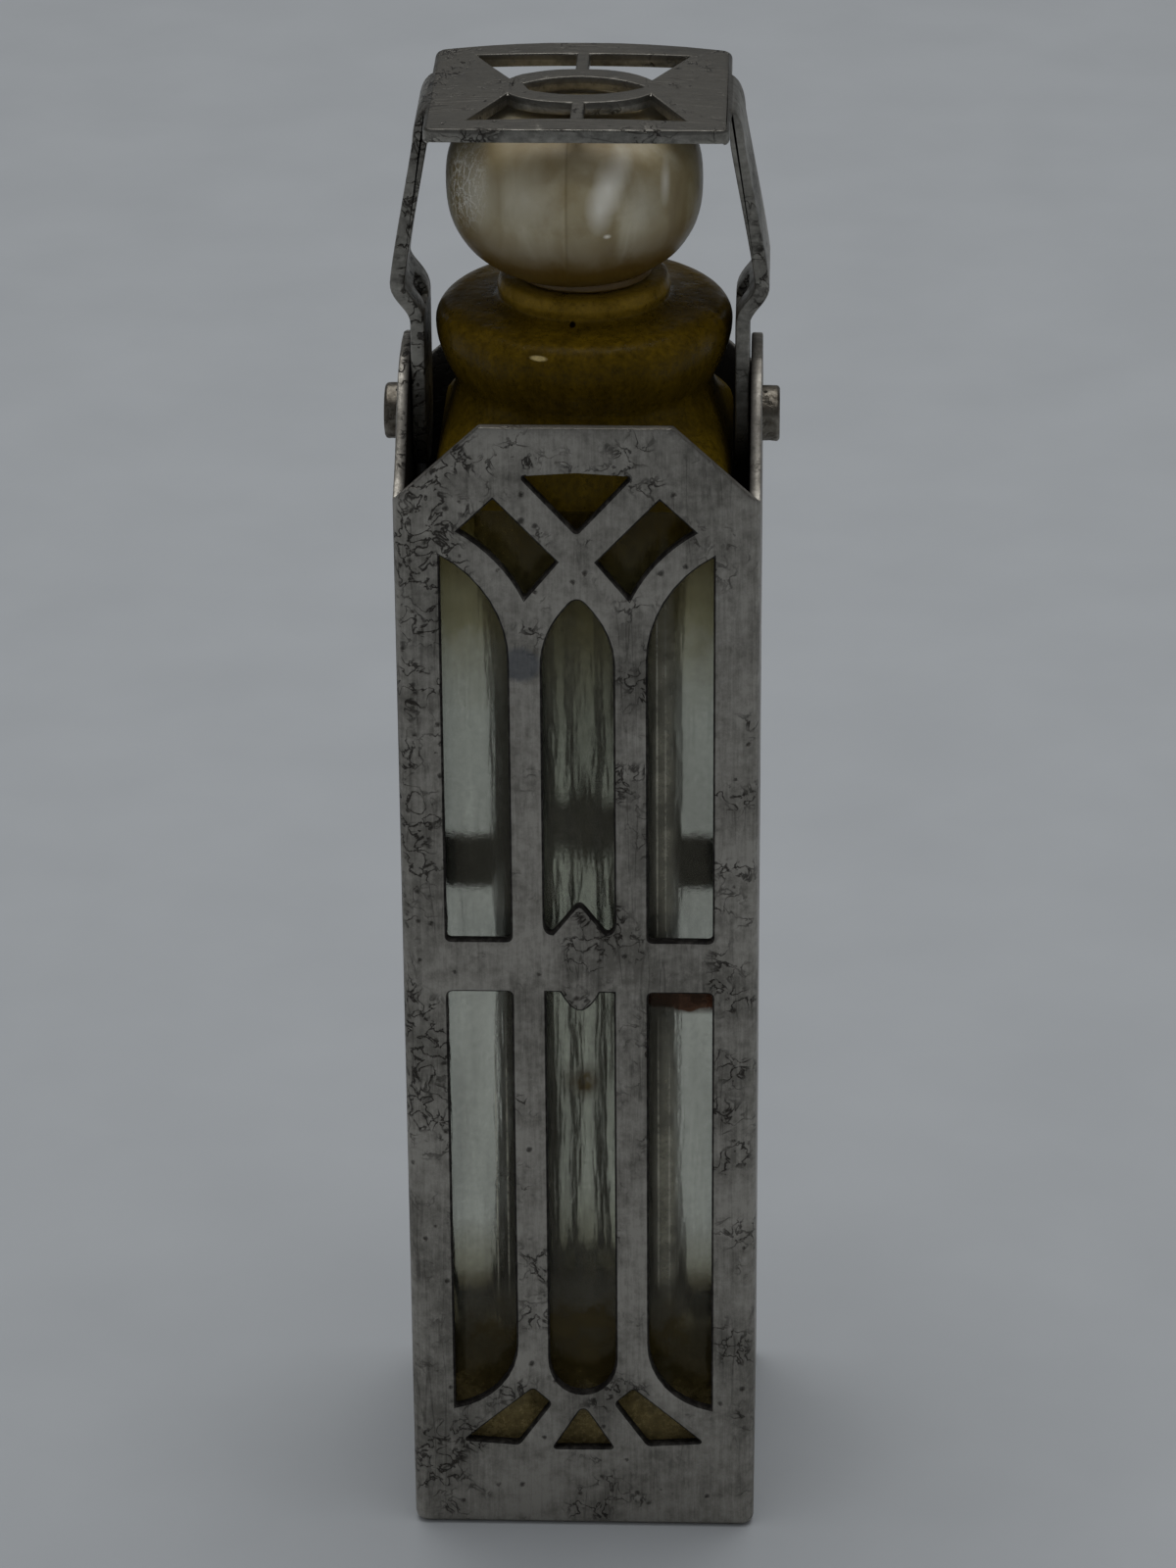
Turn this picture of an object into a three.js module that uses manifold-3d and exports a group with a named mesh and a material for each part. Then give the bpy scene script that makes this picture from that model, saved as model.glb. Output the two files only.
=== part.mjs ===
// A purse scent bottle: a square glass vial in a pierced silver case.
// A swinging bail holds its glass stopper down.
// Millimetres, +Z up, the front towards -Y, the origin at the centre of the case's underside.
import * as THREE from "three";
import { mergeVertices } from "three/addons/utils/BufferGeometryUtils.js";
import Module from "manifold-3d";

const wasm = await Module();
wasm.setup();

// Case: four walls of sheet soldered at the corners, round a base plate
const CASE_WIDTH = 12.7;
const CASE_DEPTH = 12.7;
const CASE_SHEET = 0.4;
const UPRIGHT_ROUNDING = 0.5; // of the four upright corners
const BOTTOM_ROUNDING = 0.35; // of the edges that the case stands on
const PANEL_HEIGHT = 44.5; // flat top of the front and back panels
const PANEL_TOP_WIDTH = 6.66; // that flat top's length
const SHOULDER_DROP = 2.8; // from there down to where a panel's slope meets the side wall
const EAR_RISE = 0.7; // ears above the panels
const EAR_NARROWING = 2.75; // how far the shoulder's sweep reaches in towards the ear
const EAR_CROWN = 3.6; // half width over which the ear's top stays nearly flat

// Piercing of the front and back panels: the lower rows, measured up from the underside
const FOOT_ROW_BOTTOM = 3.57; // the slanted windows at the foot
const FOOT_TRIANGLE_BOTTOM = 3.4;
const FOOT_TRIANGLE_TOP = 5.05;
const LOWER_ROW_BOTTOM = 5.17; // the tall windows under the crossbar
const LOWER_MIDDLE_BOTTOM = 5.8;
const CROSSBAR_BOTTOM = 22.65;
const CROSSBAR_TOP = 24.74;

// Piercing: the upper rows, measured down from the panel's flat top
const UPPER_ROW_DROP = 4.8; // to the tips of the tall windows above the crossbar
const UPPER_MIDDLE_DROP = 6.45;
const HEAD_TRIANGLE_DROP = 1.8;
const HEAD_TRIANGLE_HEIGHT = 2.12;
const SLANT_TOP_DROP = 2.67; // to a slanted window's upper inner corner
const SLANT_INNER_DROP = 5.0; // to its lower inner corner

// Piercing: widths
const WINDOW_MARGIN = 1.6; // metal outside the outer windows
const OUTER_WINDOW_WIDTH = 2.3;
const MIDDLE_WINDOW_WIDTH = 2.5;
const LOWER_MIDDLE_WIDTH = 2.44;
const ARCH_RADIUS = 4.63; // arch over the upper windows
const ARCH_RIB = 1.15; // metal between that arch and the slanted windows
const FOOT_ARCH_RADIUS = 2.8; // arch under the lower windows
const MIDDLE_ARCH_HEIGHT = 2.55; // the middle window's pointed head
const FOOT_CURVE_HEIGHT = 1.5; // the lower middle window's rounded foot
const NOTCH_HEIGHT = 1.12; // the metal peak that stands into the middle window
const DROP_DEPTH = 0.75; // the metal point that hangs into the window below
const SLANT_TOP_REACH = 0.43; // a slanted window's upper corner, outside the inner side of the tall window
const SLANT_WIDTH = 2.18; // from that corner in to the lower inner one
const SLANT_END = 1.15; // sideways reach of its two short ends
const SLANT_FOOT = 1.4; // how far its lower end falls
const HEAD_TRIANGLE_WIDTH = 3.8;
const FOOT_SLANT_TOP = [1.87, 5.98]; // upper corner of a slanted window at the foot
const FOOT_SLANT_INNER = [1.22, 5.36];
const FOOT_SLANT_BOTTOM_INNER = 2.42;
const FOOT_SLANT_BOTTOM_OUTER = 4.4;
const FOOT_TRIANGLE_WIDTH = 2.2;
const PIERCING_CORNER = 0.14; // a saw-cut corner's rounding

// Rivets: the bail's two pivots
const PIVOT_DROP = 1.95; // below the panels' flat top
const RIVET_RADIUS = 0.6;
const RIVET_HEAD_RADIUS = 1.03;
const RIVET_HEAD_THICKNESS = 0.62;
const RIVET_HEAD_ROUNDING = 0.14;
const RIVET_FLARE_SPREAD = 0.24; // of the inner end, spread flush into the arm's countersink
const RIVET_FLARE_DEPTH = 0.22;
const RIVET_FLUSH_GAP = 0.02;
const RIVET_WALL_FIT = 0.01;
const PIVOT_CLEARANCE = 0.05;

// Bail
const BAIL_SHEET = 0.5;
const ARM_SIDE_CLEARANCE = 0.05; // between an arm and the inside of the wall
const ARM_WIDTH = 3.75;
const ARM_ROOT_DROP = 1.1; // height of the bend from plate to arm
const ARM_ROOT_INSET = 0.2; // of the arm just under the plate, from the line of its foot
const ARM_BOW = 0.68; // how far the bow stands outside the arm's foot
const BOW_HEIGHT = 5.5; // widest place of the arms, above the pivot
const JOG_HEIGHT = 4.0; // where the arm is back inside the ears, above the pivot
const PLATE_SIDE_INSET = 0.45; // of its side edges, from the middle of the arms' feet
const PLATE_DEPTH = 9.2; // on the middle line
const PLATE_EDGE_CURVE = 0.4; // how much less it measures from front to back at each side
const PLATE_ARCH = 0.14; // crown of the plate from side to side
const PLATE_CORNER = 0.45;
const PLATE_LIP = 0.06; // how far the plate's edge turns down on either side of an arm
const ARM_FILLET = 0.3; // in the corner between plate and arm
const PLATE_RIM = 1.2; // metal in front of and behind the plate's windows
const PLATE_BAR = 0.44;
const PLATE_OVAL_LENGTH = 4.5;
const PLATE_OVAL_WIDTH = 1.84;
const PLATE_RING = 0.85; // metal round the oval
const PLATE_SIDE_TIP = 2.46; // how near the side triangles come to the middle
const PLATE_WINDOW_LENGTH = 7.45;
const JOG_SLOT_WIDTH = 1.4;
const JOG_SLOT_HEIGHT = 0.85;
const JOG_SLOT_RISE = 0.55; // its middle above the jog's foot

// Vial
const VIAL_ARM_CLEARANCE = 0.2; // between its flat sides and the arms
const VIAL_PANEL_CLEARANCE = 0.75; // between its flat faces and the panels
const VIAL_CORNER = 0.5;
const VIAL_FOOT_CHAMFER = 0.35;
const VIAL_PLAY = 0.09; // how far the loose vial lies towards the right arm
const SHOULDER_RISE = 2.45; // the top of the vial's shoulder above the panels' flat top
const SHOULDER_ARM_CLEARANCE = 0.2; // between the round shoulder's widest place and the arms
const SHOULDER_EDGE_DROP = 0.8; // of that widest place, below the shoulder's top
const SHOULDER_EDGE_REACH = 0.85; // how far in from there the top has levelled out
const WAIST_RADIUS = 4.53; // of the round waist under the shoulder
const WAIST_DROP = 2.8; // of that waist, below the shoulder's top
const BODY_DRAW = 3.2; // height over which the square body draws in to the waist
const NECK_RADIUS = 2.98;
const NECK_HEIGHT = 0.9;
const NECK_LIP_ROUNDING = 0.22;
const NECK_BORE_RADIUS = 1.9; // at the lip
const NECK_BORE_LENGTH = 5.2;
const SEAT_TAPER = 0.035; // radius lost per millimetre of depth
const BORE_TOP_WALL = 1.27; // thinnest glass beside the bore, at its widest place under the shoulder
const BORE_WAIST_WALL = 1.77;
const BORE_FOOT_WALL = 1.47;
const BORE_TOP_DEPTH = 8.2; // of that widest place, below the lip
const BORE_WAIST_DEPTH = 18.8; // where the bore has narrowed to its waist, below the lip
const BORE_WAIST_FOOT = 13.5; // where it widens again, above the underside
const BORE_FOOT_HEIGHT = 8.0;
const BASE_GLASS = 3.7; // thickness of glass under the bore

// Stopper
const COLLAR_GAP = 0.06; // between the neck's lip and the stopper's collar
const COLLAR_RADIUS = 2.42;
const COLLAR_ROUNDING = 0.08;
const KNOB_RISE = 0.37; // of the knob's foot, above the neck's lip
const KNOB_HEIGHT = 5.8;
const KNOB_ARM_CLEARANCE = 0.92; // between its widest place and the line of the arms' feet
const KNOB_FOOT_RADIUS = 2.62;
const KNOB_OFFSET = 0.3; // how far the knob was moulded off its peg's axis, to the left
const SEAT_CLEARANCE = 0.04;
const PEG_LENGTH = 4.9;
const PLATE_GAP = 0.13; // between the knob and the plate

// Facets
const CURVE_STEPS = 8;
const BEND_STEPS = 11; // in each bend of the bail's strip
const ROUND_STEPS = 28;
const GLASS_STEPS = 56;

// Places worked out from the sizes above
const halfWidth = CASE_WIDTH / 2;
const halfDepth = CASE_DEPTH / 2;
const innerHalfWidth = halfWidth - CASE_SHEET;
const innerHalfDepth = halfDepth - CASE_SHEET;
const earTop = PANEL_HEIGHT + EAR_RISE;
const shoulderHeight = PANEL_HEIGHT - SHOULDER_DROP;
const pivotHeight = PANEL_HEIGHT - PIVOT_DROP;
const armOuter = innerHalfWidth - ARM_SIDE_CLEARANCE;
const armInner = armOuter - BAIL_SHEET;
const armMiddle = (armInner + armOuter) / 2;
const armHalf = ARM_WIDTH / 2;
const flareRadius = RIVET_RADIUS + RIVET_FLARE_SPREAD;
const plateHalf = armMiddle - PLATE_SIDE_INSET;
const vialHalfWidth = armInner - VIAL_ARM_CLEARANCE;
const vialHalfDepth = innerHalfDepth - VIAL_PANEL_CLEARANCE;
const vialShoulder = PANEL_HEIGHT + SHOULDER_RISE;
const lipHeight = vialShoulder + NECK_HEIGHT;
const vialHalf = Math.min(vialHalfWidth, vialHalfDepth);
const shoulderRadius = armInner - SHOULDER_ARM_CLEARANCE;
const boreTop = vialHalf - BORE_TOP_WALL;
const boreWaist = vialHalf - BORE_WAIST_WALL;
const boreFoot = vialHalf - BORE_FOOT_WALL;
const knobFoot = lipHeight + KNOB_RISE;
const knobTop = knobFoot + KNOB_HEIGHT;
const knobRadius = armInner - KNOB_ARM_CLEARANCE;
const plateMiddle = knobTop + PLATE_GAP + BAIL_SHEET / 2; // middle of the sheet, at the crown
const plateSide = plateMiddle - PLATE_ARCH;

// Turns a closed three.js geometry into a solid.
function solidOf(geometry) {
  const bare = geometry.index ? geometry.toNonIndexed() : geometry;
  bare.deleteAttribute("normal");
  bare.deleteAttribute("uv");
  const merged = mergeVertices(bare, 1e-5);
  const mesh = new wasm.Mesh({
    numProp: 3,
    vertProperties: merged.attributes.position.array,
    triVerts: new Uint32Array(merged.index.array),
  });
  return new wasm.Manifold(mesh);
}

// Turns a solid back into a geometry with flat faces.
function geometryOf(solid) {
  const mesh = solid.getMesh();
  const position = new THREE.BufferAttribute(new Float32Array(mesh.vertProperties), mesh.numProp);
  const geometry = new THREE.BufferGeometry().setAttribute("position", position);
  geometry.setIndex(new THREE.BufferAttribute(new Uint32Array(mesh.triVerts), 1));
  const flat = geometry.toNonIndexed();
  flat.computeVertexNormals();
  return flat;
}

function prism(shape, length) {
  const options = { depth: length, bevelEnabled: false, curveSegments: CURVE_STEPS };
  return new THREE.ExtrudeGeometry(shape, options);
}

// A shape drawn in X and Y, from the height low to the height high.
function prismAlongZ(shape, low, high) {
  return solidOf(prism(shape, high - low).translate(0, 0, low));
}

// A shape drawn in X and Z, from y = near to y = far.
function prismAlongY(shape, near, far) {
  return solidOf(prism(shape, far - near).rotateX(Math.PI / 2).translate(0, far, 0));
}

// A shape drawn in Y and Z, from x = left to x = right.
function prismAlongX(shape, left, right) {
  const cyclic = new THREE.Matrix4().makeBasis(
    new THREE.Vector3(0, 1, 0),
    new THREE.Vector3(0, 0, 1),
    new THREE.Vector3(1, 0, 0),
  );
  return solidOf(prism(shape, right - left).applyMatrix4(cyclic).translate(left, 0, 0));
}

// A solid turned round the X axis at the pivot's height, from [x, radius] pairs.
function turnedOnPivot(profile) {
  const points = profile.map(([x, radius]) => new THREE.Vector2(radius, x));
  const lathe = new THREE.LatheGeometry(points, ROUND_STEPS);
  return solidOf(lathe.rotateZ(-Math.PI / 2).translate(0, 0, pivotHeight));
}

// A closed outline of straight sides with rounded corners. A point is [x, y] or [x, y, rounding].
function roundedOutline(points, rounding) {
  const outline = new THREE.Path();
  const count = points.length;
  points.forEach(([x, y, own], i) => {
    const corner = new THREE.Vector2(x, y);
    const before = new THREE.Vector2(...points[(i + count - 1) % count]);
    const after = new THREE.Vector2(...points[(i + 1) % count]);
    const cut = own ?? rounding;
    const start = corner.clone().add(before.sub(corner).setLength(cut));
    const end = corner.clone().add(after.sub(corner).setLength(cut));
    if (i === 0) outline.moveTo(start.x, start.y);
    else outline.lineTo(start.x, start.y);
    if (cut > 0) outline.quadraticCurveTo(x, y, end.x, end.y);
  });
  outline.closePath();
  return outline;
}

function shapeOf(outline) {
  return new THREE.Shape(outline.getPoints(CURVE_STEPS));
}

function rectangle(halfX, halfY, rounding) {
  const corners = [
    [-halfX, -halfY],
    [halfX, -halfY],
    [halfX, halfY],
    [-halfX, halfY],
  ];
  return roundedOutline(corners, rounding);
}

// Points on an arc, from one angle to another in degrees.
function arcPoints(centreX, centreY, radius, from, to) {
  const points = [];
  for (let i = 0; i <= CURVE_STEPS; i++) {
    const angle = THREE.MathUtils.degToRad(from + ((to - from) * i) / CURVE_STEPS);
    points.push([centreX + radius * Math.cos(angle), centreY + radius * Math.sin(angle)]);
  }
  return points;
}

const degrees = THREE.MathUtils.radToDeg;

// The case's outside, a block with its upright corners and its foot rounded.
function caseBlock() {
  const inset = BOTTOM_ROUNDING;
  const plan = rectangle(halfWidth - inset, halfDepth - inset, Math.max(UPRIGHT_ROUNDING - inset, 0.02));
  const block = new THREE.ExtrudeGeometry(shapeOf(plan), {
    depth: earTop,
    bevelThickness: inset,
    bevelSize: inset,
    bevelSegments: 3,
  });
  return solidOf(block.translate(0, 0, inset));
}

// Windows on the right half of a panel, drawn in X and Z.
function rightWindows() {
  const outer = halfWidth - WINDOW_MARGIN;
  const inner = outer - OUTER_WINDOW_WIDTH;

  const archCentre = inner + ARCH_RADIUS;
  const archTop = PANEL_HEIGHT - UPPER_ROW_DROP;
  const archSpring = archTop - Math.sqrt(ARCH_RADIUS ** 2 - (archCentre - outer) ** 2);
  const archTip = degrees(Math.atan2(archTop - archSpring, outer - archCentre));
  const upper = [
    [inner, CROSSBAR_TOP, 0.2],
    [outer, CROSSBAR_TOP, 0.2],
    ...arcPoints(archCentre, archSpring, ARCH_RADIUS, archTip, 180).map(([x, z]) => [x, z, 0]),
  ];

  const rib = ARCH_RADIUS + ARCH_RIB;
  const along = ([x, z]) => degrees(Math.atan2(z - archSpring, x - archCentre));
  const slantTop = [inner + SLANT_TOP_REACH, PANEL_HEIGHT - SLANT_TOP_DROP];
  const slantInner = [slantTop[0] - SLANT_WIDTH, PANEL_HEIGHT - SLANT_INNER_DROP];
  const slope = (slantTop[1] - slantInner[1]) / SLANT_WIDTH;
  const ribEnd = along([slantTop[0] + SLANT_END, slantTop[1] - SLANT_END / slope]);
  const ribStart = along([slantInner[0] + SLANT_END, slantInner[1] - SLANT_FOOT]);
  const slanted = [slantInner, ...arcPoints(archCentre, archSpring, rib, ribStart, ribEnd), slantTop];

  const footCentre = inner + FOOT_ARCH_RADIUS;
  const footSpring = LOWER_ROW_BOTTOM + Math.sqrt(FOOT_ARCH_RADIUS ** 2 - (footCentre - outer) ** 2);
  const footTip = degrees(Math.atan2(LOWER_ROW_BOTTOM - footSpring, outer - footCentre));
  const lower = [
    [outer, CROSSBAR_BOTTOM, 0.2],
    [inner, CROSSBAR_BOTTOM, 0.2],
    ...arcPoints(footCentre, footSpring, FOOT_ARCH_RADIUS, 180, 360 + footTip).map(([x, z]) => [x, z, 0]),
  ];

  const footSlanted = [
    FOOT_SLANT_TOP,
    FOOT_SLANT_INNER,
    [FOOT_SLANT_BOTTOM_INNER, FOOT_ROW_BOTTOM],
    [FOOT_SLANT_BOTTOM_OUTER, FOOT_ROW_BOTTOM + 0.15],
  ];
  return [
    roundedOutline(upper, 0),
    roundedOutline(slanted, 0),
    roundedOutline(lower, 0),
    roundedOutline(footSlanted, PIERCING_CORNER),
  ];
}

// Windows on the panel's middle line, drawn in X and Z.
function middleWindows() {
  const half = MIDDLE_WINDOW_WIDTH / 2;
  const upper = new THREE.Path();
  const top = PANEL_HEIGHT - UPPER_MIDDLE_DROP;
  const spring = top - MIDDLE_ARCH_HEIGHT;
  const lobe = CROSSBAR_TOP + 0.3;
  upper.moveTo(half, lobe + 0.5);
  upper.lineTo(half, spring);
  upper.quadraticCurveTo(half, spring + 1.3, 0.3, top - 0.18);
  upper.quadraticCurveTo(0, top + 0.18, -0.3, top - 0.18);
  upper.quadraticCurveTo(-half, spring + 1.3, -half, spring);
  upper.lineTo(-half, lobe + 0.5);
  upper.quadraticCurveTo(-half, lobe, -half + 0.3, lobe);
  upper.lineTo(-0.2, lobe + NOTCH_HEIGHT - 0.15);
  upper.quadraticCurveTo(0, lobe + NOTCH_HEIGHT + 0.1, 0.2, lobe + NOTCH_HEIGHT - 0.15);
  upper.lineTo(half - 0.3, lobe);
  upper.quadraticCurveTo(half, lobe, half, lobe + 0.5);
  upper.closePath();

  const lowerHalf = LOWER_MIDDLE_WIDTH / 2;
  const lower = new THREE.Path();
  const footTop = LOWER_MIDDLE_BOTTOM + FOOT_CURVE_HEIGHT;
  lower.moveTo(-lowerHalf, CROSSBAR_BOTTOM);
  lower.lineTo(-lowerHalf, footTop);
  lower.bezierCurveTo(-lowerHalf, footTop - 0.8, -0.75, LOWER_MIDDLE_BOTTOM, 0, LOWER_MIDDLE_BOTTOM);
  lower.bezierCurveTo(0.75, LOWER_MIDDLE_BOTTOM, lowerHalf, footTop - 0.8, lowerHalf, footTop);
  lower.lineTo(lowerHalf, CROSSBAR_BOTTOM);
  lower.lineTo(0.72, CROSSBAR_BOTTOM);
  lower.quadraticCurveTo(0.35, CROSSBAR_BOTTOM - DROP_DEPTH, 0, CROSSBAR_BOTTOM - DROP_DEPTH);
  lower.quadraticCurveTo(-0.35, CROSSBAR_BOTTOM - DROP_DEPTH, -0.72, CROSSBAR_BOTTOM);
  lower.closePath();

  const headHalf = HEAD_TRIANGLE_WIDTH / 2;
  const headTop = PANEL_HEIGHT - HEAD_TRIANGLE_DROP;
  const headTriangle = [
    [-headHalf, headTop, 0.2],
    [0, headTop - HEAD_TRIANGLE_HEIGHT],
    [headHalf, headTop, 0.2],
    [0, headTop + 0.12],
  ];
  const footHalf = FOOT_TRIANGLE_WIDTH / 2;
  const footTriangle = [
    [-footHalf, FOOT_TRIANGLE_BOTTOM],
    [footHalf, FOOT_TRIANGLE_BOTTOM],
    [0, FOOT_TRIANGLE_TOP + 0.2, 0.4],
  ];
  return [
    upper,
    lower,
    roundedOutline(headTriangle, PIERCING_CORNER),
    roundedOutline(footTriangle, PIERCING_CORNER),
  ];
}

function mirrored(outline) {
  return new THREE.Path(outline.getPoints(CURVE_STEPS).map((p) => new THREE.Vector2(-p.x, p.y)));
}

function panel(near, far) {
  const topHalf = PANEL_TOP_WIDTH / 2;
  const outline = new THREE.Shape();
  outline.moveTo(-halfWidth, 0);
  outline.lineTo(halfWidth, 0);
  outline.lineTo(halfWidth, shoulderHeight);
  outline.lineTo(topHalf, PANEL_HEIGHT);
  outline.lineTo(-topHalf, PANEL_HEIGHT);
  outline.lineTo(-halfWidth, shoulderHeight);
  outline.closePath();
  const right = rightWindows();
  let solid = prismAlongY(outline, near, far).intersect(caseBlock());
  for (const window of [...right, ...right.map(mirrored), ...middleWindows()]) {
    solid = solid.subtract(prismAlongY(shapeOf(window), near - 1, far + 1));
  }
  return solid;
}

function pivotHole(left, right, radius) {
  return turnedOnPivot([
    [left, 0],
    [left, radius],
    [right, radius],
    [right, 0],
  ]);
}

// A plain wall that rises into an ear. The side is -1 for the left wall and 1 for the right one.
function sideWall(side) {
  const sweep = innerHalfDepth - EAR_NARROWING;
  const outline = new THREE.Shape();
  outline.moveTo(-innerHalfDepth, 0);
  outline.lineTo(innerHalfDepth, 0);
  outline.lineTo(innerHalfDepth, shoulderHeight);
  outline.bezierCurveTo(sweep, shoulderHeight + 0.93, EAR_CROWN, earTop, 0, earTop);
  outline.bezierCurveTo(-EAR_CROWN, earTop, -sweep, shoulderHeight + 0.93, -innerHalfDepth, shoulderHeight);
  outline.closePath();
  const [left, right] = [side * innerHalfWidth, side * halfWidth].sort((a, b) => a - b);
  const hole = pivotHole(left - 1, right + 1, RIVET_RADIUS + RIVET_WALL_FIT);
  return prismAlongX(outline, left, right).intersect(caseBlock()).subtract(hole);
}

function basePlate() {
  const plan = rectangle(innerHalfWidth, innerHalfDepth, 0);
  return prismAlongZ(shapeOf(plan), 0, CASE_SHEET);
}

// A rivet with its head outside the wall, and its inner end spread flush into the arm.
function rivet(side) {
  const end = armInner + RIVET_FLUSH_GAP;
  const headFace = halfWidth + RIVET_HEAD_THICKNESS;
  const profile = [
    [end, 0],
    [end, flareRadius],
    [end + RIVET_FLARE_DEPTH, RIVET_RADIUS],
    [halfWidth, RIVET_RADIUS],
    [halfWidth, RIVET_HEAD_RADIUS],
    [headFace - RIVET_HEAD_ROUNDING, RIVET_HEAD_RADIUS],
    [headFace - 0.3 * RIVET_HEAD_ROUNDING, RIVET_HEAD_RADIUS - 0.3 * RIVET_HEAD_ROUNDING],
    [headFace, RIVET_HEAD_RADIUS - RIVET_HEAD_ROUNDING],
    [headFace, 0],
  ];
  const right = turnedOnPivot(profile);
  return side > 0 ? right : right.mirror([1, 0, 0]);
}

// The middle line of the bail's strip in X and Z, from the plate's crown to the right arm's foot.
function stripMiddle() {
  const line = new THREE.Path();
  line.moveTo(0, plateMiddle);
  line.quadraticCurveTo(plateHalf / 2, plateMiddle, plateHalf - 0.25, plateSide);
  const bowX = armMiddle + ARM_BOW;
  const bowZ = pivotHeight + BOW_HEIGHT;
  const jogZ = pivotHeight + JOG_HEIGHT;
  const rootX = armMiddle - ARM_ROOT_INSET;
  const rootZ = plateSide - ARM_ROOT_DROP;
  line.quadraticCurveTo(rootX - 0.05, plateSide - 0.05, rootX, rootZ);
  line.bezierCurveTo(rootX + 0.22, rootZ - 1.4, bowX - 0.15, bowZ + 1.3, bowX, bowZ);
  line.bezierCurveTo(bowX + 0.06, bowZ - 0.55, armMiddle, jogZ + 0.65, armMiddle, jogZ);
  line.lineTo(armMiddle, pivotHeight - armHalf - 0.1);
  return line.getPoints(BEND_STEPS);
}

// The strip's outline, half a sheet on either side of its middle line.
function stripOutline() {
  const middle = stripMiddle();
  const outside = [];
  const inside = [];
  middle.forEach((point, i) => {
    const before = middle[Math.max(i - 1, 0)];
    const after = middle[Math.min(i + 1, middle.length - 1)];
    const along = after.clone().sub(before).normalize();
    if (i === 0) along.set(1, 0);
    const across = new THREE.Vector2(-along.y, along.x).multiplyScalar(BAIL_SHEET / 2);
    outside.push(point.clone().add(across));
    inside.push(point.clone().sub(across));
  });
  const flip = (p) => new THREE.Vector2(-p.x, p.y);
  const over = [...outside.slice(1).reverse().map(flip), ...outside];
  const under = [...inside.slice(1).reverse(), ...inside.map(flip)];
  return new THREE.Shape([...over, ...under]);
}

// The plate seen from above: its front and back edges bow out towards the middle line.
function plateOutline() {
  const side = plateHalf;
  const middle = PLATE_DEPTH / 2;
  const corner = middle - PLATE_EDGE_CURVE;
  const inset = side - PLATE_CORNER;
  const outline = new THREE.Path();
  outline.moveTo(side, corner - PLATE_CORNER);
  outline.quadraticCurveTo(side, corner, inset, corner + 0.05);
  outline.quadraticCurveTo(0, 2 * middle - corner, -inset, corner + 0.05);
  outline.quadraticCurveTo(-side, corner, -side, corner - PLATE_CORNER);
  outline.lineTo(-side, PLATE_CORNER - corner);
  outline.quadraticCurveTo(-side, -corner, -inset, -corner - 0.05);
  outline.quadraticCurveTo(0, corner - 2 * middle, inset, -corner - 0.05);
  outline.quadraticCurveTo(side, -corner, side, PLATE_CORNER - corner);
  outline.closePath();
  return outline;
}

// One quarter of the plate's windows, mirrored to the other three by its signs.
function plateWindow(signX, signY) {
  const rim = PLATE_DEPTH / 2 - PLATE_RIM;
  const bar = PLATE_BAR / 2;
  const ring = PLATE_OVAL_WIDTH / 2 + PLATE_RING;
  const tipY = 0.42 * ring;
  const outline = new THREE.Path();
  const at = (x, y) => [signX * x, signY * y];
  outline.moveTo(...at(bar, rim));
  outline.lineTo(...at(PLATE_WINDOW_LENGTH / 2, rim));
  outline.lineTo(...at(PLATE_SIDE_TIP, tipY));
  outline.quadraticCurveTo(...at(PLATE_SIDE_TIP - 0.75, ring), ...at(bar, ring));
  outline.closePath();
  return outline;
}

function plateOval() {
  const end = PLATE_OVAL_LENGTH / 2;
  const side = PLATE_OVAL_WIDTH / 2;
  const outline = new THREE.Path();
  outline.moveTo(-end, 0);
  outline.quadraticCurveTo(-0.55 * end, side, 0, side);
  outline.quadraticCurveTo(0.55 * end, side, end, 0);
  outline.quadraticCurveTo(0.55 * end, -side, 0, -side);
  outline.quadraticCurveTo(-0.55 * end, -side, -end, 0);
  return outline;
}

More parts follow.
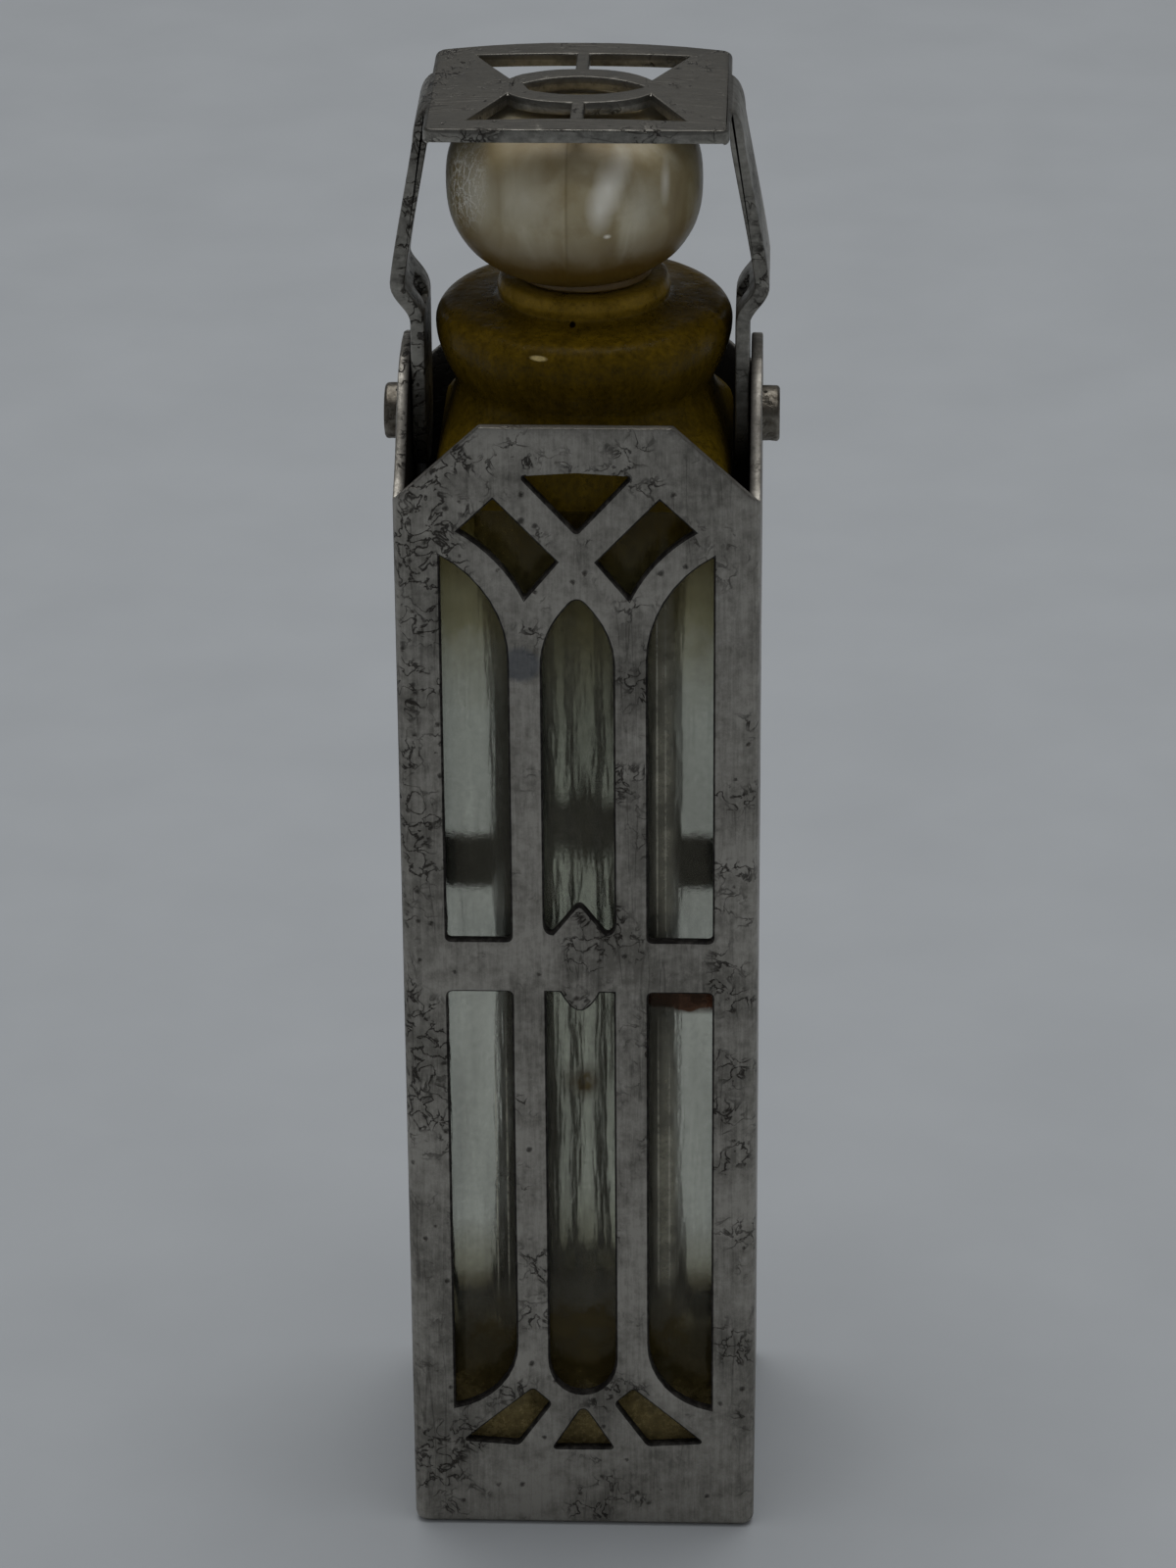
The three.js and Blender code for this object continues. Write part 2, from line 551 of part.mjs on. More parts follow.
// The bail: the bent strip, cut to the plate's and the arms' outlines, with its piercing and pivot holes.
function bail() {
  const plate = plateOutline();
  const strip = prismAlongY(stripOutline(), -PLATE_DEPTH / 2, PLATE_DEPTH / 2);
  const high = plateMiddle + BAIL_SHEET;
  const low = pivotHeight - ARM_WIDTH;
  const reach = halfWidth + ARM_BOW;
  const plan = prismAlongZ(shapeOf(plate), low, high).add(
    prismAlongZ(shapeOf(rectangle(reach, armHalf, 0)), low, high),
  );

  const under = plateSide - BAIL_SHEET / 2 - PLATE_LIP;
  const side = new THREE.Shape();
  side.moveTo(-PLATE_DEPTH, high);
  side.lineTo(-PLATE_DEPTH, under);
  side.lineTo(-armHalf - ARM_FILLET, under);
  side.quadraticCurveTo(-armHalf, under, -armHalf, under - ARM_FILLET);
  side.lineTo(-armHalf, pivotHeight);
  side.absarc(0, pivotHeight, armHalf, Math.PI, 2 * Math.PI, false);
  side.lineTo(armHalf, under - ARM_FILLET);
  side.quadraticCurveTo(armHalf, under, armHalf + ARM_FILLET, under);
  side.lineTo(PLATE_DEPTH, under);
  side.lineTo(PLATE_DEPTH, high);
  side.closePath();
  let solid = strip.intersect(plan).intersect(prismAlongX(side, -reach, reach));

  const windows = [plateOval()];
  for (const signX of [-1, 1]) {
    for (const signY of [-1, 1]) windows.push(plateWindow(signX, signY));
  }
  for (const outline of windows) {
    solid = solid.subtract(prismAlongZ(shapeOf(outline), plateSide - 1.5, high));
  }

  const slotMiddle = pivotHeight + JOG_HEIGHT + JOG_SLOT_RISE;
  const slot = rectangle(JOG_SLOT_WIDTH / 2, JOG_SLOT_HEIGHT / 2, 0.25);
  const hole = RIVET_RADIUS + PIVOT_CLEARANCE;
  const countersink = [
    [armInner - 1, 0],
    [armInner - 1, flareRadius + PIVOT_CLEARANCE],
    [armInner + RIVET_FLUSH_GAP, flareRadius + PIVOT_CLEARANCE],
    [armInner + RIVET_FLUSH_GAP + RIVET_FLARE_DEPTH, hole],
    [armOuter + 1, hole],
    [armOuter + 1, 0],
  ];
  const rightCuts = prismAlongX(shapeOf(slot), 0, reach)
    .translate([0, 0, slotMiddle])
    .add(turnedOnPivot(countersink));
  return solid.subtract(rightCuts).subtract(rightCuts.mirror([1, 0, 0]));
}

// How far a rounded square's edge lies from its middle, seen along one angle.
function squareReach(angle, half, corner) {
  const across = Math.abs(Math.cos(angle));
  const along = Math.abs(Math.sin(angle));
  const straight = half - corner;
  const most = Math.max(across, along);
  if ((half * Math.min(across, along)) / most <= straight) return half / most;
  const towards = straight * (across + along);
  return towards + Math.sqrt(towards ** 2 - 2 * straight ** 2 + corner ** 2);
}

// A closed skin over rings that run up the outside, over the lip and down the bore.
// A ring is [height, half across, half along, corner radius].
function lofted(rings) {
  const positions = [];
  const index = [];
  rings.forEach(([height, halfX, halfY, corner]) => {
    for (let i = 0; i < GLASS_STEPS; i++) {
      const angle = (2 * Math.PI * i) / GLASS_STEPS;
      const reach = squareReach(angle, halfX, corner);
      positions.push(reach * Math.cos(angle), (reach * Math.sin(angle) * halfY) / halfX, height);
    }
  });
  const at = (ring, i) => ring * GLASS_STEPS + (i % GLASS_STEPS);
  for (let ring = 0; ring + 1 < rings.length; ring++) {
    for (let i = 0; i < GLASS_STEPS; i++) {
      index.push(at(ring, i), at(ring, i + 1), at(ring + 1, i + 1));
      index.push(at(ring, i), at(ring + 1, i + 1), at(ring + 1, i));
    }
  }
  const last = rings.length - 1;
  const footMiddle = positions.length / 3;
  positions.push(0, 0, rings[0][0], 0, 0, rings[last][0]);
  for (let i = 0; i < GLASS_STEPS; i++) {
    index.push(footMiddle, at(0, i + 1), at(0, i));
    index.push(footMiddle + 1, at(last, i), at(last, i + 1));
  }
  const geometry = new THREE.BufferGeometry();
  geometry.setAttribute("position", new THREE.Float32BufferAttribute(positions, 3));
  geometry.setIndex(index);
  return geometry;
}

// The radius of the ground seat at a height.
function seatRadius(height) {
  return NECK_BORE_RADIUS - SEAT_TAPER * (lipHeight - height);
}

function vial() {
  const foot = CASE_SHEET;
  const rings = [
    [foot, vialHalfWidth - VIAL_FOOT_CHAMFER, vialHalfDepth - VIAL_FOOT_CHAMFER, VIAL_CORNER],
    [foot + VIAL_FOOT_CHAMFER, vialHalfWidth, vialHalfDepth, VIAL_CORNER],
  ];
  const waistHeight = vialShoulder - WAIST_DROP;
  const drawSteps = 4;
  for (let i = 0; i < drawSteps; i++) {
    const share = (1 - Math.cos((Math.PI * i) / drawSteps)) / 2;
    const halfX = THREE.MathUtils.lerp(vialHalfWidth, WAIST_RADIUS, share);
    const halfY = THREE.MathUtils.lerp(vialHalfDepth, WAIST_RADIUS, share);
    const corner = THREE.MathUtils.lerp(VIAL_CORNER, WAIST_RADIUS, share);
    rings.push([waistHeight - BODY_DRAW * (1 - i / drawSteps), halfX, halfY, corner]);
  }
  const circles = [];
  const edgeHeight = vialShoulder - SHOULDER_EDGE_DROP;
  const edgeSteps = 5;
  for (let i = 0; i < edgeSteps; i++) {
    const out = Math.sin((Math.PI / 2) * (i / edgeSteps));
    const height = THREE.MathUtils.lerp(waistHeight, edgeHeight, i / edgeSteps);
    circles.push([height, THREE.MathUtils.lerp(WAIST_RADIUS, shoulderRadius, out)]);
  }
  for (let i = 0; i <= edgeSteps; i++) {
    const turn = (Math.PI / 2) * (i / edgeSteps);
    const inwards = SHOULDER_EDGE_REACH * (1 - Math.cos(turn));
    circles.push([edgeHeight + SHOULDER_EDGE_DROP * Math.sin(turn), shoulderRadius - inwards]);
  }
  circles.push(
    [vialShoulder + 0.02, NECK_RADIUS + 0.22],
    [vialShoulder + 0.16, NECK_RADIUS],
    [vialShoulder + NECK_HEIGHT / 2, NECK_RADIUS + 0.06],
    [lipHeight - NECK_LIP_ROUNDING, NECK_RADIUS],
    [lipHeight, NECK_RADIUS - NECK_LIP_ROUNDING],
    [lipHeight, seatRadius(lipHeight)],
    [lipHeight - NECK_BORE_LENGTH, seatRadius(lipHeight - NECK_BORE_LENGTH)],
    [lipHeight - BORE_TOP_DEPTH + 1.6, 0.78 * boreTop],
    [lipHeight - BORE_TOP_DEPTH + 0.6, 0.95 * boreTop],
    [lipHeight - BORE_TOP_DEPTH - 0.6, boreTop],
    [lipHeight - BORE_TOP_DEPTH - 2.6, THREE.MathUtils.lerp(boreTop, boreWaist, 0.3)],
    [lipHeight - BORE_TOP_DEPTH - 5.6, THREE.MathUtils.lerp(boreTop, boreWaist, 0.8)],
    [lipHeight - BORE_WAIST_DEPTH, boreWaist],
    [BORE_WAIST_FOOT, boreWaist],
    [BORE_FOOT_HEIGHT, boreFoot],
  );
  const bottom = foot + BASE_GLASS;
  for (const turn of [20, 40, 60, 80]) {
    const angle = THREE.MathUtils.degToRad(turn);
    const height = BORE_FOOT_HEIGHT - (BORE_FOOT_HEIGHT - bottom) * Math.sin(angle);
    circles.push([height, boreFoot * Math.cos(angle)]);
  }
  for (const [height, radius] of circles) rings.push([height, radius, radius, radius]);
  return solidOf(lofted(rings));
}

// A solid turned round the Z axis, from points of radius and height.
function turned(profile) {
  return solidOf(new THREE.LatheGeometry(profile, GLASS_STEPS).rotateX(Math.PI / 2));
}

function stopper() {
  const pegFoot = lipHeight - PEG_LENGTH;
  const pegRadius = (height) => seatRadius(height) - SEAT_CLEARANCE;
  const foot = knobFoot;
  const knob = new THREE.SplineCurve(
    [
      [KNOB_FOOT_RADIUS, 0],
      [0.7 * knobRadius, 0.05 * KNOB_HEIGHT],
      [0.85 * knobRadius, 0.15 * KNOB_HEIGHT],
      [0.96 * knobRadius, 0.3 * KNOB_HEIGHT],
      [knobRadius, 0.48 * KNOB_HEIGHT],
      [0.98 * knobRadius, 0.7 * KNOB_HEIGHT],
      [0.87 * knobRadius, 0.85 * KNOB_HEIGHT],
      [0.65 * knobRadius, 0.94 * KNOB_HEIGHT],
      [0.33 * knobRadius, 0.99 * KNOB_HEIGHT],
      [0, KNOB_HEIGHT],
    ].map(([radius, height]) => new THREE.Vector2(radius, foot + height)),
  ).getPoints(22);
  knob[knob.length - 1].set(0, knobTop);
  const peg = [
    new THREE.Vector2(0, pegFoot),
    new THREE.Vector2(pegRadius(pegFoot) - 0.35, pegFoot),
    new THREE.Vector2(pegRadius(pegFoot) - 0.1, pegFoot + 0.1),
    new THREE.Vector2(pegRadius(pegFoot + 0.35), pegFoot + 0.35),
    new THREE.Vector2(pegRadius(lipHeight), lipHeight),
    new THREE.Vector2(pegRadius(lipHeight), lipHeight + COLLAR_GAP),
    new THREE.Vector2(COLLAR_RADIUS - COLLAR_ROUNDING, lipHeight + COLLAR_GAP),
    new THREE.Vector2(COLLAR_RADIUS, lipHeight + COLLAR_GAP + COLLAR_ROUNDING),
    new THREE.Vector2(COLLAR_RADIUS, foot),
    new THREE.Vector2(COLLAR_RADIUS - COLLAR_ROUNDING, foot + 2 * COLLAR_ROUNDING),
    new THREE.Vector2(0, foot + 2 * COLLAR_ROUNDING),
  ];
  const outline = [new THREE.Vector2(0, foot), ...knob];
  return turned(peg).add(turned(outline).translate([-KNOB_OFFSET, 0, 0]));
}

const silver = { color: 0xb9b5ac, roughness: 0.38, metalness: 1 };
const clearGlass = { color: 0xcfd2c4, roughness: 0.06, metalness: 0, transparent: true, opacity: 0.4 };
const pearlGlass = { color: 0xc9c2a8, roughness: 0.22, metalness: 0 };

function piece(name, solid, look) {
  const mesh = new THREE.Mesh(geometryOf(solid), new THREE.MeshStandardMaterial(look));
  mesh.name = name;
  return mesh;
}

const group = new THREE.Group();
group.add(piece("case_front_panel", panel(-halfDepth, -innerHalfDepth), silver));
group.add(piece("case_back_panel", panel(innerHalfDepth, halfDepth), silver));
group.add(piece("case_left_wall", sideWall(-1), silver));
group.add(piece("case_right_wall", sideWall(1), silver));
group.add(piece("case_base", basePlate(), silver));
group.add(piece("left_rivet", rivet(-1), silver));
group.add(piece("right_rivet", rivet(1), silver));
group.add(piece("bail", bail(), silver));

const glass = new THREE.Group();
glass.position.x = VIAL_PLAY;
glass.add(piece("vial", vial(), clearGlass));
glass.add(piece("stopper", stopper(), pearlGlass));
group.add(glass);

export default group;
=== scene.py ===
from math import cos, hypot, pi, radians, sin, sqrt

import bmesh
import bpy
from mathutils import Matrix, Vector, noise
from mathutils.bvhtree import BVHTree


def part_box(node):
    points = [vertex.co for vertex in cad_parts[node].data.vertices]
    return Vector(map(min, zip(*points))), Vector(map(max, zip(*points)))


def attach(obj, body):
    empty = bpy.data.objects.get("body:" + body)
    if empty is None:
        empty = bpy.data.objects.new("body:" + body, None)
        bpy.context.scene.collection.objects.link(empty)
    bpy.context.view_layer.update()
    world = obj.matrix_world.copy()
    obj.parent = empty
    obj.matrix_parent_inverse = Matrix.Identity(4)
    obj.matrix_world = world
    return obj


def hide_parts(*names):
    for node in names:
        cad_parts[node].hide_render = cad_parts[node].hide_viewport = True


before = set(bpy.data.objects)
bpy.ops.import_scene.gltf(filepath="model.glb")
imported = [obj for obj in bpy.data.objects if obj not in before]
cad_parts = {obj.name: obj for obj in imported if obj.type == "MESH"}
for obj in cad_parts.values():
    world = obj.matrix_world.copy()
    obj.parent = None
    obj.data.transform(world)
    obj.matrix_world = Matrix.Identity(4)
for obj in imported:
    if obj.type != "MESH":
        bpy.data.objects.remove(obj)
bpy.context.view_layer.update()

MM = 0.001

# Base plate: a square of sterling silver sheet, soldered in flush between the four walls.
# It carries the vial. Its underside is worn bright by tables, its upper side is painted black, as tarnish
# and as shade.
wall_low, wall_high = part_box("case_right_wall")
sheet = wall_high.x - wall_low.x
half_width = wall_high.x
half_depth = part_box("case_back_panel")[1].y
inner_x = half_width - sheet
inner_y = half_depth - sheet
BASE_SQUARE = 0.8 * MM
ONE_CORNER = 0.001 * MM  # corners closer together than this are one
ONE_PLANE = radians(0.4)  # faces that differ by less than this are one flat
SHADED_EDGE = radians(40)  # an edge that turns by more than this is seen as an edge
FIRST_CUT = 0.37  # of a square, off the middle, where the pieces have corners of their own
ON_CUT = 1e-7  # metres, a corner this near a cut lies on it


def linear(colour):
    """A colour written as sRGB hex, in the linear values that a shader takes."""
    parts = [int(colour[i : i + 2], 16) / 255 for i in (1, 3, 5)]
    return (*(p / 12.92 if p < 0.04 else ((p + 0.055) / 1.055) ** 2.4 for p in parts), 1)


def add(tree, kind, inputs=(), **settings):
    """Adds a node with its settings. Its inputs are a list from the first on, or named or numbered.

    An input takes a value, a socket, or a node's first output. A Map Range's inputs are the value, the
    two ends between which it is read, and the two ends that it gives.
    """
    node = tree.nodes.new(kind)
    for name, value in settings.items():
        setattr(node, name, value)
    pairs = inputs.items() if isinstance(inputs, dict) else enumerate(inputs)
    for key, value in pairs:
        if isinstance(value, bpy.types.Node):
            value = value.outputs[0]
        if isinstance(value, bpy.types.NodeSocket):
            tree.links.new(value, node.inputs[key])
        else:
            node.inputs[key].default_value = value
    return node


def bare_material(name):
    """A material with an empty tree, and in it the place on the object in millimetres."""
    material = bpy.data.materials.new(name)
    material.use_nodes = True
    tree = material.node_tree
    tree.nodes.clear()
    where = add(tree, "ShaderNodeTexCoord").outputs["Object"]
    mm = add(tree, "ShaderNodeVectorMath", [where, (1 / MM,) * 3], operation="MULTIPLY")
    return material, tree, mm


def mixed(tree, share, first, second):
    """One colour laid over another, by a share from 0 to 1."""
    return add(tree, "ShaderNodeMix", {0: share, 6: first, 7: second}, data_type="RGBA").outputs[2]


def spot(tree, mm, middle, reach, edge=0.5):
    """An oval spot on the object, in mm: 1 up to the share edge of its reach, and 0 from its reach on."""
    away = add(tree, "ShaderNodeVectorMath", [mm, middle], operation="SUBTRACT")
    away = add(tree, "ShaderNodeVectorMath", [away, reach], operation="DIVIDE")
    away = add(tree, "ShaderNodeVectorMath", [away], operation="LENGTH").outputs["Value"]
    return add(tree, "ShaderNodeMapRange", [away, edge, 1, 1, 0])


def hairlines(tree, field, width):
    """Thin wandering lines where a noise passes through its middle value."""
    off = add(tree, "ShaderNodeMath", [field, 0.5], operation="SUBTRACT")
    off = add(tree, "ShaderNodeMath", [off], operation="ABSOLUTE")
    return add(tree, "ShaderNodeMapRange", [off, 0.3 * width, width, 1, 0])


def worn_silver(name, bright, dull, grain, pitting, in_case=False, painted_shade_above=None, polished=()):
    """Sterling silver sheet: brushed once, then rubbed, scratched and tarnished.

    The eye sees fine lines along the grain, soft grey clouds, black pits, and black in the sawn edges.
    grain holds the brush lines per millimetre along X, Y and Z, coarser than real ones so that they show.
    pitting is the share of places that have a pit. in_case is for the case's sheets, with their seams and
    insides painted black, as tarnish and as shade. painted_shade_above is a height over which the silver is
    painted darker, as shade, and polished are (place, reach) of spots that knocks have left smooth and
    shining. Places are in mm.
    """
    material, tree, mm = bare_material(name)
    along = add(tree, "ShaderNodeVectorMath", [mm, grain], operation="MULTIPLY")
    x, y, z = add(tree, "ShaderNodeSeparateXYZ", [mm]).outputs

    brushing = add(tree, "ShaderNodeTexNoise", {"Vector": along, "Scale": 1, "Detail": 4, "Roughness": 0.7})
    clouds = add(tree, "ShaderNodeTexNoise", {"Vector": mm, "Scale": 0.28, "Detail": 7, "Roughness": 0.66})
    mottle = add(tree, "ShaderNodeTexNoise", {"Vector": mm, "Scale": 2.4, "Detail": 8, "Roughness": 0.78})
    tarnish = add(tree, "ShaderNodeMapRange", [clouds, 0.36, 0.66, 0, 1])
    speckle = add(tree, "ShaderNodeMapRange", [mottle, 0.3, 0.7, -0.45, 0.45])
    dullness = add(tree, "ShaderNodeMath", [tarnish, speckle], operation="ADD")
    lined = add(tree, "ShaderNodeMapRange", [brushing, 0.3, 0.7, 0.3, -0.3])
    dullness = add(tree, "ShaderNodeMath", [dullness, lined], operation="ADD", use_clamp=True)
    skin = mixed(tree, dullness, linear(bright), linear(dull))
    if painted_shade_above:
        # Painted shade darkens the top above that height, where the plate faces the dim room. The front
        # edge, at Y -4.6, is left out of it
        over = add(tree, "ShaderNodeMath", [z, painted_shade_above], operation="GREATER_THAN")
        shade_share = add(tree, "ShaderNodeMapRange", [y, -4.55, -4.45, 0, 0.6])
        over = add(tree, "ShaderNodeMath", [over, shade_share], operation="MULTIPLY")
        skin = mixed(tree, over, skin, linear("#615f5a"))

    # Scratches follow the grain. Crackle wanders in patches, most of it high on the left of the case,
    # where it was held, and less of it on the left wall itself
    leftward = add(tree, "ShaderNodeMapRange", [x, -6.3, -3.6, 1, 0])
    higher = add(tree, "ShaderNodeMapRange", [z, 8, 30, 0.2, 1])
    leftward = add(tree, "ShaderNodeMath", [leftward, higher], operation="MULTIPLY")
    ahead = add(tree, "ShaderNodeMapRange", [x, -6.3, -6.1, 0.25, 1])
    leftward = add(tree, "ShaderNodeMath", [leftward, ahead], operation="MULTIPLY")
    drawn = add(tree, "ShaderNodeVectorMath", [along, (0.22, 0.22, 0.22)], operation="MULTIPLY")
    lines = add(tree, "ShaderNodeTexNoise", {"Vector": drawn, "Scale": 1, "Detail": 2, "Distortion": 0.3})
    sparse = add(tree, "ShaderNodeMapRange", [clouds, 0.5, 0.6, 0.2, 0.8])
    scratch = add(tree, "ShaderNodeMath", [hairlines(tree, lines, 0.014), sparse], operation="MULTIPLY")
    wander = add(tree, "ShaderNodeTexNoise", {"Vector": mm, "Scale": 1.7, "Detail": 4, "Distortion": 0.6})
    patches = add(tree, "ShaderNodeTexNoise", {"Vector": mm, "Scale": 0.55, "Detail": 3})
    held = add(tree, "ShaderNodeMath", [leftward, 0.24, patches], operation="MULTIPLY_ADD")
    held = add(tree, "ShaderNodeMapRange", [held, 0.53, 0.66, 0, 1])
    crackle = add(tree, "ShaderNodeMath", [hairlines(tree, wander, 0.036), held], operation="MULTIPLY")

    # Pits lie in some cells only, and differ in size
    bent = add(tree, "ShaderNodeMath", [mottle, 0.35], operation="MULTIPLY")
    uneven = add(tree, "ShaderNodeVectorMath", [mm, bent], operation="ADD")
    cells = add(tree, "ShaderNodeTexVoronoi", {"Vector": uneven, "Scale": 2.3})
    chance = add(tree, "ShaderNodeSeparateColor", [cells.outputs["Color"]])
    level = add(tree, "ShaderNodeMath", [leftward, 0.5, pitting], operation="MULTIPLY_ADD")
    chosen = add(tree, "ShaderNodeMath", [chance, level], operation="LESS_THAN")
    wide = add(tree, "ShaderNodeMath", [chance.outputs[1], 0.3], operation="MULTIPLY")
    narrow = add(tree, "ShaderNodeMath", [wide, 0.35], operation="MULTIPLY")
    pit = add(tree, "ShaderNodeMapRange", [cells.outputs["Distance"], narrow, wide, 1, 0])
    pit = add(tree, "ShaderNodeMath", [pit, chosen], operation="MULTIPLY")

    # Dirt darkens all three, the scratches least
    dirt = 0
    for damage, share in ((pit, 0.75), (scratch, 0.45), (crackle, 0.85)):
        filled = add(tree, "ShaderNodeMath", [damage, share], operation="MULTIPLY")
        dirt = add(tree, "ShaderNodeMath", [dirt, filled], operation="MAXIMUM")
    skin = mixed(tree, dirt, skin, linear("#2b2724"))

    # Black tarnish keeps to the sawn edges, out of reach of a cloth
    rim = add(tree, "ShaderNodeAttribute", attribute_name="rim").outputs["Fac"]
    patchy = add(tree, "ShaderNodeMapRange", [mottle, 0.3, 0.55, 0.8, 1])
    black = add(tree, "ShaderNodeMath", [rim, patchy], operation="MULTIPLY")
    if in_case:
        # Black, as tarnish and as painted shade, covers all of the inside, up to the sheets' inner faces at
        # 5.95, and fades out to 6.2.
        # Each solder seam shows as a hairline near a corner
        across = add(tree, "ShaderNodeMath", [x], operation="ABSOLUTE")
        deep = add(tree, "ShaderNodeMath", [y], operation="ABSOLUTE")
        outside = add(tree, "ShaderNodeMath", [across, deep], operation="MAXIMUM")
        tarnish_and_shade_inside = add(tree, "ShaderNodeMapRange", [outside, 5.97, 6.2, 0.94, 0])
        above = add(tree, "ShaderNodeMapRange", [z, 0.1, 0.3, 0, 1])
        tarnish_and_shade_inside = add(tree, "ShaderNodeMath", [tarnish_and_shade_inside, above], operation="MULTIPLY")
        black = add(tree, "ShaderNodeMath", [black, tarnish_and_shade_inside], operation="MAXIMUM")
        seam = add(tree, "ShaderNodeMath", [deep, inner_y / MM], operation="SUBTRACT")
        seam = add(tree, "ShaderNodeMath", [seam], operation="ABSOLUTE")
        seam = add(tree, "ShaderNodeMapRange", [seam, 0.015, 0.05, 0.6, 0])
        skin = mixed(tree, seam, skin, linear("#35302a"))
        # A blue-grey stain lies on the left rib above the crossbar
        ragged = add(tree, "ShaderNodeVectorMath", [uneven, (0.17, 0.17, 0.17)], operation="SUBTRACT")
        stain = spot(tree, ragged, (-2.0, -6.35, 35.6), (0.85, 1, 0.75), edge=0.7)
        stain = add(tree, "ShaderNodeMath", [stain, 0.7], operation="MULTIPLY")
        skin = mixed(tree, stain, skin, linear("#5c6066"))
    skin = mixed(tree, black, skin, linear("#15110e"))

    rough = add(tree, "ShaderNodeMapRange", [dullness, 0, 1, 0.32, 0.5])
    rougher = add(tree, "ShaderNodeMath", [brushing, 0.12, rough], operation="MULTIPLY_ADD")
    rough = add(tree, "ShaderNodeMath", [black, 0.3, rougher], operation="MULTIPLY_ADD")
    for middle, reach in polished:
        shine = spot(tree, mm, middle, reach)
        shine = add(tree, "ShaderNodeMath", [shine, 0.22], operation="MULTIPLY")
        rough = add(tree, "ShaderNodeMath", [rough, shine], operation="SUBTRACT", use_clamp=True)
    metal = add(tree, "ShaderNodeMapRange", [black, 0, 1, 1, 0.4])

    # The brushing and the grit stand up, pits lie deepest and scratches shallowest
    height = 0
    for field, rise in ((brushing, 0.5), (mottle, 0.4), (scratch, -0.4), (crackle, -0.8), (pit, -1.6)):
        height = add(tree, "ShaderNodeMath", [field, rise, height], operation="MULTIPLY_ADD")
    bump = add(tree, "ShaderNodeBump", {"Height": height, "Strength": 1, "Distance": 0.026 * MM})
    finish = {"Base Color": skin, "Metallic": metal, "Roughness": rough, "Normal": bump}
    shader = add(tree, "ShaderNodeBsdfPrincipled", finish)
    add(tree, "ShaderNodeOutputMaterial", {"Surface": shader})
    return material


def merged_copy(node):
    """A node's shape with its loose triangles joined up and its flat faces whole."""
    shape = bmesh.new()
    shape.from_mesh(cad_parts[node].data)
    bmesh.ops.remove_doubles(shape, verts=shape.verts, dist=ONE_CORNER)
    bmesh.ops.dissolve_limit(shape, angle_limit=ONE_PLANE, verts=shape.verts, edges=shape.edges)
    return shape


def cut_into_squares(shape, step, axes):
    """Cuts the faces along a grid, so that a large flat one can be dented."""
    for axis in axes:
        places = [corner.co[axis] for corner in shape.verts]
        square = Vector([float(i == axis) for i in range(3)])
        for i in range(int(min(places) / step) - 1, int(max(places) / step) + 2):
            everything = shape.verts[:] + shape.edges[:] + shape.faces[:]
            at = square * (i + FIRST_CUT) * step
            bmesh.ops.bisect_plane(shape, geom=everything, plane_co=at, plane_no=square, dist=ON_CUT)


def finished(shape, name, material, body, slot, *nodes):
    """Makes the piece of a shape, with its finish, and lets it stand for its CAD nodes."""
    for face in shape.faces:
        face.smooth = True
    for edge in shape.edges:
        edge.smooth = edge.is_manifold and edge.calc_face_angle() < SHADED_EDGE
    mesh = bpy.data.meshes.new(name)
    shape.to_mesh(mesh)
    shape.free()
    mesh.materials.append(material)
    piece = bpy.data.objects.new(name, mesh)
    bpy.context.scene.collection.objects.link(piece)
    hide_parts(*nodes)
    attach(piece, body)
    return piece


sheet_silver = worn_silver(
    "sterling_silver_sheet_brushed_worn", "#a5a199", "#7b7871", (7, 7, 0.45), pitting=0.12, in_case=True
)
shape = merged_copy("case_base")
cut_into_squares(shape, BASE_SQUARE, (0, 1))
finished(shape, "base_plate", sheet_silver, "case", "silver_sheet", "case_base")

# Side walls: plain strips of the same sheet, soldered between the panels.
# Each rises into a rounded ear with a drilled hole for the bail's rivet.
EDGE_ROUNDING = 0.07 * MM
SHARP_EDGE = radians(32)  # an edge that turns by more than this is rounded
STAND_OFF = 0.45  # of the rounding, the most that a rounded corner may stand off the sheet
SEAM_TOP = 41.7 * MM  # height up to which the walls are soldered to the panels
NEARLY = 0.01 * MM
WALL_SQUARE = 0.7 * MM
WALL_DENT = 0.05 * MM
WALL_CALM = 2.5 * MM  # from its true edges inwards, the way to the full dents
DENT_SIZE = 3.2 * MM
STIFF_FOOT = 1 * MM  # below this height the base plate keeps the sheets true
STIFF_EAR = 37 * MM  # above this height the walls stay true, because the bail's arms run close inside


def at_seam(edge):
    """True where a sheet of the case is soldered to its neighbour, which leaves no edge to round."""
    for place in (corner.co for corner in edge.verts):
        beside = abs(abs(place.y) - inner_y) < NEARLY and abs(place.x) > inner_x - NEARLY
        below = place.z < NEARLY and max(abs(place.x) - inner_x, abs(place.y) - inner_y) < NEARLY
        if not (beside and place.z < SEAM_TOP + NEARLY) and not below:
            return False
    return True


def round_edges(shape, rounding, skipped, sawn):
    """Rounds the sharp edges as a file leaves them, and marks the sawn faces as rim for the tarnish.

    A rounded corner that overshoots in a narrow place is put back on the sheet.
    """
    rim = shape.faces.layers.float.new("rim")
    creases = [edge for edge in shape.edges if edge.is_manifold and edge.calc_face_angle() > SHARP_EDGE]
    sharp = [edge for edge in creases if not skipped(edge)]
    unrounded = BVHTree.FromBMesh(shape)
    bmesh.ops.bevel(
        shape, geom=sharp, offset=rounding, segments=2, profile=0.5, affect="EDGES", clamp_overlap=False
    )
    for corner in shape.verts:
        nearest, _, _, distance = unrounded.find_nearest(corner.co)
        if distance > STAND_OFF * rounding:
            corner.co = nearest
    shape.normal_update()
    for face in shape.faces:
        face[rim] = sawn(face)


def dent(shape, depth, size, inward, seed):
    """Pushes the sheet in a little, unevenly, as years of use have. inward gives the way at a place."""
    for corner in shape.verts:
        hollow = 0.5 + 0.5 * noise.fractal(corner.co / size + Vector((seed, 0, 0)), 1, 2, 2)
        corner.co += inward(corner.co) * depth * min(max(hollow, 0), 1)


